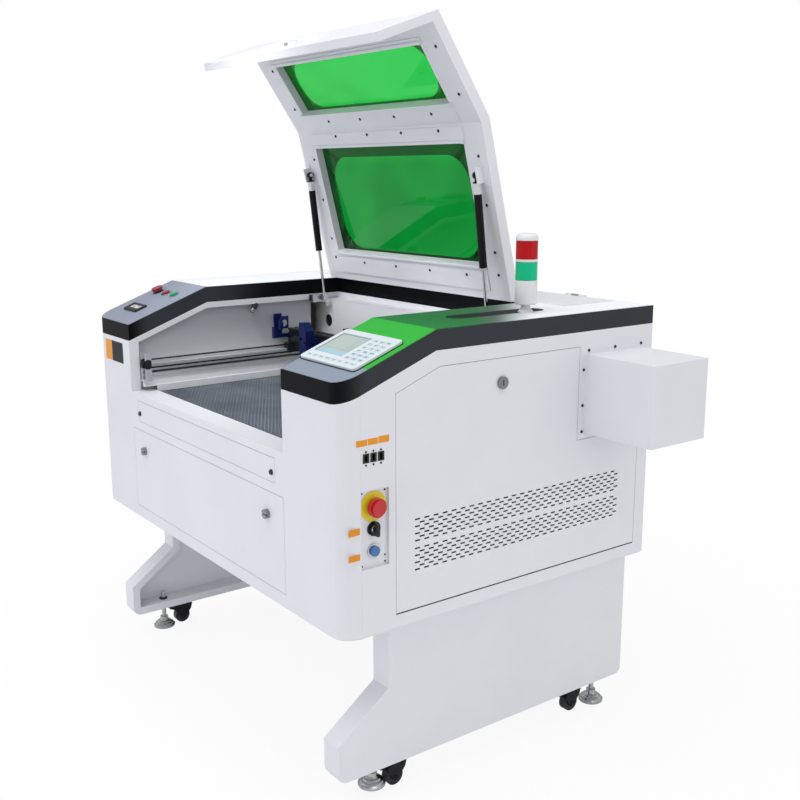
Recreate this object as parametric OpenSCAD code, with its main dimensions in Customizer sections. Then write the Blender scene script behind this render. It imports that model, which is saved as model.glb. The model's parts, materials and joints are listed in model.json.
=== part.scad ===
// Gantry laser engraving machine on two channel legs.
// X runs left to right across the front, Y from the front to the back, Z up from the floor.
// The modules work in a cabinet frame whose zero is the front left corner at floor height;
// placed() then moves everything so that the part's origin is under the middle of its box.

/* [Cabinet] */
// Width of the cabinet across the front
cab_w = 1176; // [1100:1:1300]
// Depth of the cabinet, front face to back face
cab_d = 838; // [820:1:880]
// Height of the cabinet body without its legs
cab_h = 581; // [560:1:620]
// Height of the dark band round the top
band_h = 41; // [30:1:50]
// Depth of the sloping front part of the decks
slope_y = 219; // [180:1:240]
// How far the slope drops at the front
slope_drop = 82; // [60:1:100]
// Radius of the two front corners
corner_r = 42; // [20:1:60]
// Thickness of the sheet steel
sheet = 1.5; // [1.2:0.1:2]

/* [Work opening] */
// Width of the opening between the two side decks
open_w = 754; // [740:1:780]
// Depth of the opening from the front face
open_d = 631; // [610:1:650]
// Height of the front sill above the cabinet floor
sill_h = 329; // [320:1:340]
// Depth of the top of the sill
sill_d = 58; // [40:1:60]

/* [Lid] */
// Angle of the open lid
lid_open = 76; // [60:1:80]
// Depth of the lid's folded edge
lid_edge = 25; // [20:1:26]
// Thickness of the front panel of the lid
lid_front_t = 18; // [12:1:22]

/* [Motion] */
// Distance of the gantry beam from the front face
gantry_y = 484; // [150:1:520]
// Distance of the laser head from the left side
head_x = 350; // [262:1:900]

/* [Legs and feet] */
// Height of the channel legs
leg_h = 327; // [250:1:360]
// Gap from the floor to the bottom of the legs
foot_h = 61; // [56:1:75]
// Width of the leg channels
leg_w = 52; // [48:1:60]
// Distance of the legs from the cabinet sides
leg_inset = 49; // [20:1:60]

/* [Extension box] */
// How far the laser tube box stands out of the right side
tube_box_reach = 188; // [120:1:220]

/* [Hidden] */
$fn = 48;

// Levels
leg_z = foot_h;
cab_z = foot_h + leg_h;
top_z = cab_z + cab_h;
front_top = top_z - slope_drop;
sill_z = cab_z + sill_h;
slope_a = atan(slope_drop / slope_y);

// Work opening
open_x0 = (cab_w - open_w) / 2;
open_x1 = open_x0 + open_w;
jamb_d = 25;
rim_h = 15;
mid_x = cab_w / 2;

// Top frame and cover
cover_t = 1;
frame_t = 2;
lip_t = 1.5;
hatch_lo = [112, 672];
hatch_hi = [1064, 806];

// Origin under the middle of the whole machine
lock_reach = 9;
collar_reach = 60;
frame_x = (cab_w + tube_box_reach) / 2;
frame_y = (cab_d + collar_reach - lock_reach) / 2;

// Laser beam and tube
beam_z = cab_z + 463;
tube_y = 712;
tube_r = 25;
beam_x = 225;
optic_y = gantry_y - 46;

// Lid hinge line, and the lid's own outline when closed
hinge_y = open_d + 3;
hinge_z = top_z + 3;
lid_x0 = open_x0 + 2;
lid_x1 = open_x1 - 2;
lid_y1 = open_d - 4;
lid_z0 = sill_z + 3;
lid_skin = 2;
lid_nose = 16;
seam = 0.2;
knuckle_r = 2.8;
pin_r = 1.5;

// Gas struts, from the lid's stud to the bracket on the rim
strut_inset = 34;
strut_lid_y = -299;
strut_lid_z = -40;
strut_foot_y = 563;
strut_foot_z = cab_z + 530;
strut_r = 9;
strut_rod_r = 4;
strut_body = 204;

// Doors and flap, as height above the cabinet floor
flap_x0 = 245;
flap_z0 = 259;
flap_z1 = 310;
door_x0 = 213;
door_z0 = 30;
door_z1 = 235;
gap = 1;

// Y drive
rail_x = 200;
rail_w = 24;
ledge_z = cab_z + 355;
guide_z = ledge_z + 30;
belt_z = ledge_z + 43;
belt_x = 222;
belt_w = 15;
belt_front_y = 34;
belt_rear_y = 560;
belt_r = 9.8;
belt_t = 1.4;

// Bed
bed_x0 = 240;
bed_y0 = 60;
bed_y1 = 576;
bed_top = cab_z + 326;
bed_t = 20;
screw_r = 6;
screw_x = 217;
screw_front_y = 110;
screw_rear_y = 520;
liner_x = 195;
liner_t = 1.2;
liner_floor = cab_z + 20;
liner_back = 588;

// Right-hand switch plate, measured on the side of the cabinet
plate_y0 = 41;
plate_y1 = 108;
plate_z0 = cab_z + 136;
plate_z1 = cab_z + 293;
plate_depth = 7;
switch_r = 11;
estop_pos = [74, cab_z + 258];
key_pos = [74, cab_z + 214];
power_pos = [74, cab_z + 170];

// Left deck switches: X positions and distance up the slope
deck_switch_x = [50, 102, 150];
deck_switch_s = 166;

// Feet and casters
foot_front_y = 113;
foot_rear_y = 766;
caster_front_y = 178;
caster_rear_y = 700;
wheel_r = 21;
caster_trail = 12;
foot_raised = 17;
leg_mid = leg_inset + leg_w / 2;

function roof_z(y) = y < slope_y ? top_z - slope_drop * (1 - y / slope_y) : top_z;

// Corners of the closed lid's section, d inside its outer skin
function lid_corners(d) = [
    [lid_y1, top_z - d],
    [slope_y + d * tan(slope_a / 2), top_z - d],
    nose_point(d, d),
    [d / cos(nose_a), lid_z0]
];

// Where the front panel, df inside its skin, meets the slope, dr inside its skin
nose_a = atan(lid_nose / (front_top - lid_nose * tan(slope_a) - lid_z0));
function nose_y(df, dr) = (df / cos(nose_a) - tan(nose_a) * (front_top - dr / cos(slope_a) - lid_z0))
    / (1 + tan(nose_a) * tan(slope_a));
function nose_point(df, dr) = [nose_y(df, dr), front_top + tan(slope_a) * nose_y(df, dr) - dr / cos(slope_a)];
function reversed(list) = [for (i = [len(list) - 1 : -1 : 0]) list[i]];

// ---------- helpers ----------

module placed() translate([-frame_x, -frame_y, 0]) children();

module block(lo, hi) translate(lo) cube(hi - lo);

// A section drawn in Y and Z, swept along X
module along_x(x0, x1) translate([x0, 0, 0]) rotate([90, 0, 90]) linear_extrude(x1 - x0) children();

// A section drawn in X and Z, swept along Y
module along_y(y0, y1) translate([0, y1, 0]) rotate([90, 0, 0]) linear_extrude(y1 - y0) children();

module rod_x(x0, x1, y, z, r) translate([x0, y, z]) rotate([0, 90, 0]) cylinder(r = r, h = x1 - x0);
module rod_y(y0, y1, x, z, r) translate([x, y0, z]) rotate([-90, 0, 0]) cylinder(r = r, h = y1 - y0);
module rod_z(z0, z1, x, y, r) translate([x, y, z0]) cylinder(r = r, h = z1 - z0);

// Both sides of the machine, mirrored about its middle
module both_sides() {
    children();
    translate([cab_w, 0, 0]) mirror([1, 0, 0]) children();
}

module rounded_rect(lo, hi, r) {
    translate([lo[0] + r, lo[1]]) square([hi[0] - lo[0] - 2 * r, hi[1] - lo[1]]);
    translate([lo[0], lo[1] + r]) square([hi[0] - lo[0], hi[1] - lo[1] - 2 * r]);
    for (x = [lo[0] + r, hi[0] - r], y = [lo[1] + r, hi[1] - r]) translate([x, y]) circle(r = r);
}

// Plan of the cabinet, inset by i
module plan(i) {
    translate([i, corner_r]) square([cab_w - 2 * i, cab_d - corner_r - i]);
    translate([corner_r, i]) square([cab_w - 2 * corner_r, corner_r]);
    for (x = [corner_r, cab_w - corner_r]) translate([x, corner_r]) circle(r = corner_r - i);
}

// Plan of the U-shaped top, inset by i from its outside and from the opening
module plan_ring(i) {
    difference() {
        plan(i);
        translate([open_x0 - i, -1]) square([open_w + 2 * i, open_d + 1 + i]);
    }
}

// Side view of the cabinet from z0 up to dz under the roof line
module side_view(z0, dz) {
    polygon([[-9, z0], [cab_d + 9, z0], [cab_d + 9, top_z - dz], [slope_y, top_z - dz], [-9, roof_z(-9) - dz]]);
}

// Strip of the side view between two depths under the roof line
module roof_strip(dz0, dz1) {
    difference() {
        side_view(cab_z, dz0);
        side_view(cab_z - 1, dz1);
    }
}

module cabinet_solid(i, z0, dz) {
    intersection() {
        translate([0, 0, z0]) linear_extrude(cab_h) plan(i);
        along_x(-1, cab_w + 1) side_view(z0, dz);
    }
}

module ring_solid(i, dz0, dz1) {
    intersection() {
        translate([0, 0, cab_z]) linear_extrude(cab_h) plan_ring(i);
        along_x(-1, cab_w + 1) roof_strip(dz0, dz1);
    }
}

// Frame of the sloping deck: X across, Y up the slope, Z out of it
module on_slope(x, s) translate([x, 0, front_top]) rotate([slope_a, 0, 0]) translate([0, s, 0]) children();

// Closed lid turned to its open position
module lid_placed() {
    placed() translate([0, hinge_y, hinge_z]) rotate([-lid_open, 0, 0]) translate([0, -hinge_y, -hinge_z]) children();
}

// ---------- cabinet ----------

// Side door outline in Y and Z, with the notch round the tube box
module side_door_outline(grow) {
    offset(delta = grow) translate([0, cab_z]) polygon([
        [123, 31], [804, 31], [804, 304], [608, 304], [608, 508], [slope_y + 9, 508], [123, 468]
    ]);
}

// White collar round the opening: jambs at the front, a rim under the band
module opening_collar() {
    both_sides() along_x(open_x0 - sheet, open_x0) difference() {
        intersection() {
            side_view(sill_z - sheet, band_h);
            translate([0, cab_z]) square([open_d + sheet, cab_h]);
        }
        intersection() {
            side_view(cab_z, band_h + rim_h);
            translate([jamb_d, cab_z]) square([cab_d, cab_h]);
        }
    }
    block([open_x0 + seam, open_d, top_z - band_h - rim_h], [open_x1 - seam, open_d + sheet, top_z - band_h]);
    block([open_x0 + seam, 0, sill_z - sheet], [open_x1 - seam, sill_d, sill_z]);
    block([open_x0 + seam, sill_d - sheet, sill_z - rim_h], [open_x1 - seam, sill_d, sill_z]);
}

// Hairline joints where the panels of the cabinet are spot-welded together
module panel_seams() {
    both_sides() {
        block([-1, corner_r, cab_z - 1], [sheet + 1, corner_r + seam, top_z]);
        block([corner_r - seam, -1, cab_z - 1], [corner_r, sheet + 1, top_z]);
        block([-1, cab_d - sheet - seam, cab_z - 1], [sheet + 1, cab_d - sheet, top_z]);
        block([open_x0 - sheet - 1, sheet, sill_z - 5], [open_x0 + 1, sheet + seam, top_z]);
    }
    block([open_x0 - 1, sheet, sill_z - sheet - 1], [open_x1 + 1, sheet + seam, sill_z + 1]);
    block([-1, -1, cab_z + sheet], [cab_w + 1, cab_d + 1, cab_z + sheet + seam]);
}

module cabinet_shell() placed() color("whitesmoke") difference() {
    union() {
        difference() {
            cabinet_solid(0, cab_z, band_h);
            cabinet_solid(sheet, cab_z + sheet, band_h - 9);
            block([open_x0, -1, sill_z], [open_x1, 9, top_z]);
        }
        opening_collar();
    }
    along_x(cab_w - 5, cab_w + 5) side_door_outline(gap);
    block([flap_x0 - gap, -1, cab_z + flap_z0 - gap], [cab_w - flap_x0 + gap, 5, cab_z + flap_z1 + gap]);
    block([door_x0 - gap, -1, cab_z + door_z0 - gap], [cab_w - door_x0 + gap, 5, cab_z + door_z1 + gap]);
    block([cab_w - 5, plate_y0, plate_z0], [cab_w + 5, plate_y1, plate_z1]);
    rod_x(cab_w - 5, cab_w + 5, tube_y, beam_z, tube_r + 12);
    for (y = socket_ys) block([cab_w - 5, y - 7, socket_z - 9], [cab_w + 5, y + 7, socket_z + 9]);
    block([50, cab_d - 5, cab_z + 50], [cab_w - 50, cab_d + 5, cab_z + 500]);
    panel_seams();
}

// Holes for the three switches of the left deck
module deck_holes() for (x = deck_switch_x) on_slope(x, deck_switch_s)
    cylinder(r = switch_r, h = 20, center = true);

module top_frame() placed() color([0.13, 0.13, 0.14]) difference() {
    union() {
        ring_solid(0, cover_t, band_h);
        ring_solid(sheet, cover_t, band_h + rim_h);
    }
    ring_solid(sheet + lip_t, cover_t + frame_t, band_h + rim_h + 1);
    block([-1, open_d + 12, cab_z], [cab_w + 1, open_d + 12 + seam, top_z - cover_t]);
    deck_holes();
    block([hatch_lo[0], hatch_lo[1], top_z - 9], [hatch_hi[0], hatch_hi[1], top_z + 9]);
}

module top_cover() placed() color("white") difference() {
    ring_solid(1.2, 0, cover_t);
    deck_holes();
    block([hatch_lo[0], hatch_lo[1], top_z - 9], [hatch_hi[0], hatch_hi[1], top_z + 9]);
}

// Tub round the work area with the stepped ledges that carry the rails
module chamber_liner() placed() color([0.62, 0.63, 0.66]) difference() {
    union() {
        both_sides() {
            along_x(liner_x, liner_x + liner_t) intersection() {
                side_view(liner_floor, band_h + 3);
                translate([jamb_d + 1, cab_z]) square([520, cab_h]);
            }
            block([liner_x, jamb_d + 1, ledge_z - sheet], [226, liner_back, ledge_z]);
            block([226 - sheet, jamb_d + 1, ledge_z - 12], [226, liner_back, ledge_z]);
            block([226 - sheet, jamb_d + 1, ledge_z - 12 - sheet], [238, liner_back, ledge_z - 12]);
            block([238 - sheet, sill_d, ledge_z - 29], [238, liner_back, ledge_z - 12]);
        }
        block([liner_x, jamb_d + 1, liner_floor], [cab_w - liner_x, liner_back + liner_t, liner_floor + liner_t]);
        block([liner_x - 40, liner_back, liner_floor], [cab_w - liner_x + 40, liner_back + liner_t, top_z - band_h - rim_h]);
        block([liner_x - 40, liner_back, beam_z - 90], [cab_w - 60, cab_d - 20, beam_z - 90 + liner_t]);
    }
    rod_y(liner_back - 5, liner_back + 5, beam_x, beam_z, 17);
    rod_y(liner_back - 5, liner_back + 5, mid_x, cab_z + 170, 70);
}

// Two saddles with straps for the glass tube, and the pillar of the first mirror
module tube_mounts() placed() color([0.2, 0.2, 0.22]) {
    z0 = beam_z - 90 + liner_t;
    for (x = [330, 880]) difference() {
        union() {
            block([x, tube_y - 38, z0], [x + 24, tube_y + 38, beam_z + 22]);
            rod_x(x, x + 24, tube_y, beam_z, tube_r + 6);
        }
        rod_x(x - 1, x + 25, tube_y, beam_z, tube_r + 0.05);
        block([x - 1, tube_y - 26, z0 + 8], [x + 25, tube_y + 26, z0 + 42]);
    }
    block([beam_x - 30, tube_y - 6, z0], [beam_x + 26, tube_y + 44, z0 + 5]);
    block([beam_x - 20, tube_y + 16, z0], [beam_x - 8, tube_y + 30, beam_z]);
    translate([beam_x, tube_y, beam_z]) rotate([0, 90, -45]) difference() {
        union() {
            translate([0, 0, -12]) cylinder(r = 15, h = 8);
            translate([-14, -14, -22]) cube([28, 28, 10]);
        }
        translate([0, 0, -8]) cylinder(r = 10, h = 9);
    }
}

module laser_tube() placed() color([0.85, 0.9, 0.9]) {
    rod_x(276, cab_w + tube_box_reach - 34, tube_y, beam_z, tube_r);
    rod_x(262, 276, tube_y, beam_z, tube_r / 2);
    rod_x(cab_w + tube_box_reach - 34, cab_w + tube_box_reach - 16, tube_y, beam_z, tube_r / 2);
    rod_z(beam_z + tube_r - 3, beam_z + tube_r + 8, 310, tube_y, 4);
    rod_z(beam_z - tube_r - 8, beam_z - tube_r + 3, cab_w + 110, tube_y, 4);
}

// Lower service sheet with the flanged hose collar, upper sheet with three rows of vents
module rear_panel() placed() color("whitesmoke") {
    difference() {
        block([40, cab_d, cab_z + 40], [cab_w - 40, cab_d + sheet, cab_z + 340]);
        rod_y(cab_d - 1, cab_d + 5, mid_x, cab_z + 170, 73.5);
        block([cab_w - 190, cab_d - 1, cab_z + 76], [cab_w - 162, cab_d + 5, cab_z + 124]);
    }
    difference() {
        union() {
            rod_y(cab_d + sheet + seam, cab_d + collar_reach, mid_x, cab_z + 170, 75);
            rod_y(cab_d + sheet + seam, cab_d + 2 * sheet + seam, mid_x, cab_z + 170, 92);
        }
        rod_y(cab_d - 1, cab_d + collar_reach + 1, mid_x, cab_z + 170, 73.5);
    }
    difference() {
        block([40, cab_d, cab_z + 340 + gap], [cab_w - 40, cab_d + sheet, cab_z + 510]);
        for (x = [160 : 24 : 376], z = [cab_z + 380, cab_z + 400, cab_z + 420])
            block([x, cab_d - 1, z], [x + 16, cab_d + 5, z + 6]);
    }
}

// Outline of a leg in Y and Z, in from its edge by i
module leg_outline(i) {
    toe_r = 22;
    offset(delta = -i) translate([0, cab_z]) polygon(concat(
        [[cab_d, 0], [138, 0], [138, -153], [15, -243]],
        [for (a = [180 : 22.5 : 270]) [15 + toe_r + toe_r * cos(a), toe_r - leg_h + toe_r * sin(a)]],
        [[cab_d - 10, -leg_h], [cab_d, 10 - leg_h]]
    ));
}

module leg_frames() placed() color("gainsboro") both_sides() difference() {
    union() {
        difference() {
            along_x(leg_inset, leg_inset + leg_w) leg_outline(0);
            along_x(leg_inset + 2.5, leg_inset + leg_w - 2.5) leg_outline(2.5);
        }
        for (y = [caster_front_y, caster_rear_y])
            block([leg_mid - 20, y - 20, leg_z - 3], [leg_mid + 20, y + 20, leg_z]);
        block([leg_inset + 1, 22, leg_z + 18], [leg_inset + leg_w - 1, cab_d - 1, leg_z + 20.5]);
    }
    along_x(leg_inset + leg_w - 9, leg_inset + leg_w + 1) leg_outline(20);
    for (y = [foot_front_y, foot_rear_y]) rod_z(leg_z - 1, leg_z + 9, leg_mid, y, screw_r + 0.3);
    for (y = [foot_front_y, foot_rear_y]) rod_z(leg_z + 17, leg_z + 22, leg_mid, y, screw_r + 0.3);
}

// Plan of the tube box inset by i, rounded at its two outer upright edges
module end_box_body(i) {
    r = 5 - i;
    reach = tube_box_reach - i;
    translate([cab_w, 0, cab_z + 319 + i]) linear_extrude(172 - 2 * i) {
        translate([-i, 626 + i]) square([reach - r + i, 172 - 2 * i]);
        translate([reach - r - 1, 631]) square([r + 1, 162]);
        for (y = [631, 793]) translate([tube_box_reach - 5, y]) circle(r = r);
    }
}

// Square box that covers the end of the tube, bolted on by its flange
module tube_end_box() placed() color("whitesmoke") difference() {
    union() {
        block([cab_w, 613, cab_z + 307], [cab_w + sheet, 811, cab_z + 507]);
        end_box_body(0);
    }
    end_box_body(sheet);
}

// ---------- right side: switches and sockets ----------

socket_ys = [54, 71, 88];
socket_z = cab_z + 355;

// Shallow tray that sets the switches back from the side
module switch_tray() difference() {
    block([cab_w - plate_depth - sheet, plate_y0, plate_z0], [cab_w, plate_y1, plate_z1]);
    block([cab_w - plate_depth, plate_y0 + sheet, plate_z0 + sheet],
          [cab_w + 1, plate_y1 - sheet, plate_z1 - sheet]);
    for (p = [estop_pos, key_pos, power_pos]) rod_x(cab_w - 20, cab_w, p[0], p[1], switch_r);
}

module bezel(p, r, h) difference() {
    rod_x(cab_w - plate_depth, cab_w - plate_depth + h, p[0], p[1], r);
    rod_x(cab_w - plate_depth - 1, cab_w - plate_depth + h + 1, p[0], p[1], switch_r - 0.5);
}

module switch_panel() placed() color("gainsboro") {
    switch_tray();
    bezel(estop_pos, 30, 1.5);
    bezel(key_pos, 14.5, 4);
    bezel(power_pos, 14.5, 4);
    for (x = deck_switch_x) on_slope(x, deck_switch_s) difference() {
        cylinder(r = 14.5, h = 2.5);
        translate([0, 0, -1]) cylinder(r = switch_r - 0.5, h = 6);
    }
}

module emergency_stop() placed() color("firebrick") {
    rod_x(cab_w - 24, cab_w + 8, estop_pos[0], estop_pos[1], switch_r - 0.9);
    rod_x(cab_w + 2, cab_w + 11, estop_pos[0], estop_pos[1], 19);
    rod_x(cab_w + 11, cab_w + 15, estop_pos[0], estop_pos[1], 15);
}

module key_switch() placed() color("black") {
    rod_x(cab_w - 24, cab_w + 1, key_pos[0], key_pos[1], switch_r - 0.9);
    block([cab_w + 1, key_pos[0] - 3, key_pos[1] - 12], [cab_w + 12, key_pos[0] + 3, key_pos[1] + 12]);
}

module power_button() placed() color("royalblue") {
    rod_x(cab_w - 24, cab_w + 1, power_pos[0], power_pos[1], switch_r - 0.9);
}

// Three data sockets on the side and the mains inlet at the back
module sockets() placed() color([0.1, 0.1, 0.1]) {
    for (y = socket_ys) difference() {
        block([cab_w - 18, y - 7, socket_z - 9], [cab_w + 1, y + 7, socket_z + 9]);
        block([cab_w - 12, y - 3, socket_z - 6.5], [cab_w + 2, y + 3, socket_z + 6.5]);
    }
    difference() {
        block([cab_w - 190, cab_d - 24, cab_z + 76], [cab_w - 162, cab_d + 3, cab_z + 124]);
        block([cab_w - 187, cab_d - 16, cab_z + 84], [cab_w - 165, cab_d + 4, cab_z + 116]);
    }
}

// Power supply, motion controller and two drivers on the bay side of the tub
module electronics_modules() placed() color([0.45, 0.47, 0.5]) {
    bay_x = cab_w - liner_x;
    block([bay_x, 330, cab_z + 40], [bay_x + 96, 520, cab_z + 200]);
    block([bay_x, 150, cab_z + 60], [bay_x + 30, 300, cab_z + 200]);
    for (y = [180, 270]) block([bay_x, y, cab_z + 215], [bay_x + 34, y + 64, cab_z + 320]);
}

// ---------- decks ----------

module control_panel() placed() color([0.9, 0.93, 0.95]) on_slope(967, 46) difference() {
    union() {
        linear_extrude(6) rounded_rect([0, 0], [190, 122], 9);
        translate([0, 0, 6]) for (col = [0 : 7]) translate([12 + 21.5 * col, 10]) cube([15, 7, 0.8]);
        translate([0, 0, 6]) for (row = [0 : 5], col = [0 : 2])
            translate([122 + 21 * col, 26 + 14 * row]) cube([15, 8, 0.8]);
    }
    translate([12, 30, 5]) cube([98, 76, 3]);
}

module deck_button(x, cap_r, cap_z) on_slope(x, deck_switch_s) {
    translate([0, 0, -24]) cylinder(r = switch_r - 0.9, h = 24 + cap_z);
    translate([0, 0, cap_z]) cylinder(r = cap_r, h = cap_z);
}

module deck_stop() placed() color("firebrick") deck_button(deck_switch_x[0], 15, 6.5);
module deck_red_button() placed() color("red") deck_button(deck_switch_x[1], switch_r - 1.5, 3.2);
module deck_green_button() placed() color("mediumseagreen") deck_button(deck_switch_x[2], switch_r - 1.5, 3.2);

// Stack light: foot, white base, green lens, red lens, cap
module tower_light() placed() color("white") translate([1094, 525, top_z]) rotate_extrude() polygon([
    [0, 0], [25, 0], [25, 4], [17, 12], [12, 14], [12, 18], [23.5, 20],
    [23.5, 68], [23, 69], [23, 106], [23.5, 107], [23.5, 112], [23, 113], [23, 150],
    [23.5, 151], [23.5, 156], [21, 163], [15, 166], [0, 166]
]);

// ---------- lid ----------

// Line of the inner frame from its rear end to the front panel, d inside the skin
function inner_line(d) = [
    [lid_y1 - lid_skin, top_z - d],
    lid_corners(d)[1],
    nose_point(lid_front_t, d)
];

module lid_section(d0, d1) polygon(concat(lid_corners(d0), reversed(lid_corners(d1))));

// Side flange of the lid: deep along the roof, thin down the front
module lid_side() {
    inner = lid_corners(lid_edge);
    polygon(concat(lid_corners(0), [
        [lid_front_t / cos(nose_a), lid_z0],
        nose_point(lid_front_t, lid_edge),
        inner[1], inner[0]
    ]));
}

module window_hole(lo, hi, r, h) translate([0, 0, -h]) linear_extrude(2 * h) rounded_rect(lo, hi, r);

module lid_shell() lid_placed() color("white") difference() {
    union() {
        along_x(lid_x0, lid_x1) lid_section(0, lid_skin);
        along_x(lid_x0, lid_x0 + lid_skin) lid_side();
        along_x(lid_x1 - lid_skin, lid_x1) lid_side();
        block([lid_x0, lid_y1 - lid_skin, top_z - lid_edge], [lid_x1, lid_y1, top_z]);
        block([lid_x0, 0, lid_z0], [lid_x1, lid_front_t, lid_z0 + lid_skin]);
        along_x(lid_x0, lid_x1) polygon([
            [lid_front_t / cos(nose_a), lid_z0], nose_point(lid_front_t, lid_edge),
            nose_point(lid_front_t - sheet, lid_edge), [(lid_front_t - sheet) / cos(nose_a), lid_z0]
        ]);
        for (x = hinge_xs) lid_knuckles(x);
    }
    translate([0, 0, top_z]) window_hole([310, 296], [866, 541], 70, 8);
    on_slope(0, 0) window_hole([313, 42], [863, 172], 60, 8);
}

// Grey inner frame: one folded sheet with two window openings and their returns
module lid_frame() lid_placed() color([0.66, 0.66, 0.69]) difference() {
    union() {
        along_x(lid_x0 + lid_skin, lid_x1 - lid_skin)
            polygon(concat(inner_line(lid_edge), reversed(inner_line(lid_edge - 1.5))));
        translate([0, 0, top_z - lid_edge]) linear_extrude(20) window_return([283, 266], [893, 546]);
        on_slope(0, 0) translate([0, 0, -lid_edge]) linear_extrude(20) window_return([287, 36], [889, 177]);
        both_sides() strut_stud();
        cross_bars();
    }
    translate([0, 0, top_z - lid_edge]) linear_extrude(60, center = true) translate([283, 266]) square([610, 280]);
    on_slope(0, 0) translate([0, 0, -lid_edge]) linear_extrude(30, center = true) translate([287, 36]) square([602, 141]);
}

// Bars that clamp the window sheets: flat strips with a turned-down lip along each window edge
module cross_bars() {
    bar_x = [277, 899];
    face = top_z - lid_edge;
    for (y = [[229, 267], [545, 606]]) block([bar_x[0], y[0], face - 3], [bar_x[1], y[1], face + 1]);
    for (y = [259, 545]) block([bar_x[0], y, face - 7], [bar_x[1], y + 8, face - 1]);
    on_slope(0, 0) {
        for (s = [[22, 37], [176, 224]]) block([bar_x[0], s[0], -lid_edge - 3], [bar_x[1], s[1], 1 - lid_edge]);
        for (s = [29, 176]) block([bar_x[0], s, -lid_edge - 7], [bar_x[1], s + 8, -lid_edge - 1]);
    }
}

module window_return(lo, hi) difference() {
    translate(lo - [1.5, 1.5]) square(hi - lo + [3, 3]);
    translate(lo) square(hi - lo);
}

// Plate and stud on the lid frame that carry the top of a gas strut
module strut_stud() {
    y = hinge_y + strut_lid_y;
    z = hinge_z + strut_lid_z;
    x = open_x0 + strut_inset;
    block([x - 12.5, y - 18, z - 10], [x - 9.5, y + 18, top_z - lid_edge]);
    block([x - 29, y - 26, top_z - lid_edge - 2.5], [x - 9.5, y + 26, top_z - lid_edge]);
    rod_x(x - 10, x + 7, y, z, 4);
}

module lid_windows() lid_placed() color([0.1, 0.7, 0.25, 0.5]) {
    block([279, 262, top_z - lid_skin - 3], [897, 550, top_z - lid_skin]);
    on_slope(0, 0) block([283, 32, -lid_skin - 3], [893, 181, -lid_skin]);
}

hinge_xs = [300, 816];

// Two outer knuckles and leaf of a hinge, on the lid
module lid_knuckles(x) {
    for (dx = [0, 42]) difference() {
        union() {
            rod_x(x + dx, x + dx + 18, hinge_y, hinge_z, knuckle_r);
            block([x + dx, lid_y1 - 26, top_z], [x + dx + 18, hinge_y, top_z + 1.5]);
        }
        rod_x(x + dx - 1, x + dx + 19, hinge_y, hinge_z, pin_r + 0.06);
    }
}

// Fixed hinge leaves with their pins, and the brackets under the gas struts
module lid_fittings() placed() color("silver") {
    for (x = hinge_xs) {
        rod_x(x + 18.5, x + 41.5, hinge_y, hinge_z, knuckle_r);
        block([x + 18.5, hinge_y - 1, top_z], [x + 41.5, hinge_y + 23, top_z + 1.5]);
        rod_x(x, x + 60, hinge_y, hinge_z, pin_r);
    }
    for (x = [200, 560, 920]) {
        rod_x(x + 20.5, x + 43.5, hatch_hinge_y, hatch_hinge_z, knuckle_r);
        block([x + 20.5, hatch_hinge_y - 1, top_z], [x + 43.5, hatch_hinge_y + 8, top_z + 1.5]);
        rod_x(x, x + 64, hatch_hinge_y, hatch_hinge_z, pin_r);
    }
    both_sides() strut_bracket();
}

module strut_bracket() {
    x = open_x0 + strut_inset;
    block([open_x0, strut_foot_y - 32, strut_foot_z - 9], [open_x0 + 2.5, strut_foot_y + 12, strut_foot_z + 8]);
    block([open_x0, strut_foot_y - 32, strut_foot_z - 11.5], [x - 10, strut_foot_y + 12, strut_foot_z - 9]);
    block([x - 12.5, strut_foot_y - 32, strut_foot_z - 11.5], [x - 10, strut_foot_y + 12, strut_foot_z + 10]);
}

// ---------- gas struts ----------

// Frame of a strut: origin on the lid's stud, X across the machine, Z along the strut to its foot
module strut_frame() {
    stud_y = hinge_y + strut_lid_y * cos(lid_open) + strut_lid_z * sin(lid_open);
    stud_z = hinge_z - strut_lid_y * sin(lid_open) + strut_lid_z * cos(lid_open);
    lean = atan2(strut_foot_y - stud_y, strut_foot_z - stud_z);
    translate([open_x0 + strut_inset, stud_y, stud_z]) rotate([-lean, 0, 0]) children();
}

strut_len = norm([
    strut_foot_y - hinge_y - strut_lid_y * cos(lid_open) - strut_lid_z * sin(lid_open),
    strut_foot_z - hinge_z + strut_lid_y * sin(lid_open) - strut_lid_z * cos(lid_open)
]);

module strut_cylinder() strut_frame() difference() {
    union() {
        rod_x(-4, 4, 0, 0, 8);
        rod_z(4, 16, 0, 0, 4.5);
        rod_z(14, strut_body, 0, 0, strut_r);
    }
    rod_x(-5, 5, 0, 0, 4.06);
    rod_z(26, strut_body + 1, 0, 0, strut_rod_r + 0.1);
}

module strut_rod() strut_frame() {
    difference() {
        union() {
            rod_z(strut_body - 66, strut_len - 4, 0, 0, strut_rod_r);
            rod_z(strut_len - 16, strut_len, 0, 0, 5.5);
            rod_x(-5, 5, 0, strut_len, 7);
        }
    }
    rod_x(-9.7, -5, 0, strut_len, 3);
}

module mirrored_x() translate([cab_w, 0, 0]) mirror([1, 0, 0]) children();

module strut_cylinder_left() placed() color([0.1, 0.1, 0.1]) strut_cylinder();
module strut_cylinder_right() placed() color([0.1, 0.1, 0.1]) mirrored_x() strut_cylinder();
module strut_rod_left() placed() color("silver") strut_rod();
module strut_rod_right() placed() color("silver") mirrored_x() strut_rod();

// ---------- doors ----------

// Flat door tray in X and Z at the front: a skin with its edges turned in
module door_tray(x0, z0, z1, depth) difference() {
    block([x0, 0, cab_z + z0], [cab_w - x0, depth, cab_z + z1]);
    block([x0 + sheet, sheet, cab_z + z0 + sheet], [cab_w - x0 - sheet, depth + 1, cab_z + z1 - sheet]);
}

module front_flap() placed() color("whitesmoke") door_tray(flap_x0, flap_z0, flap_z1, 8);

lock_z = cab_z + 186;
lock_x = 279;

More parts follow.
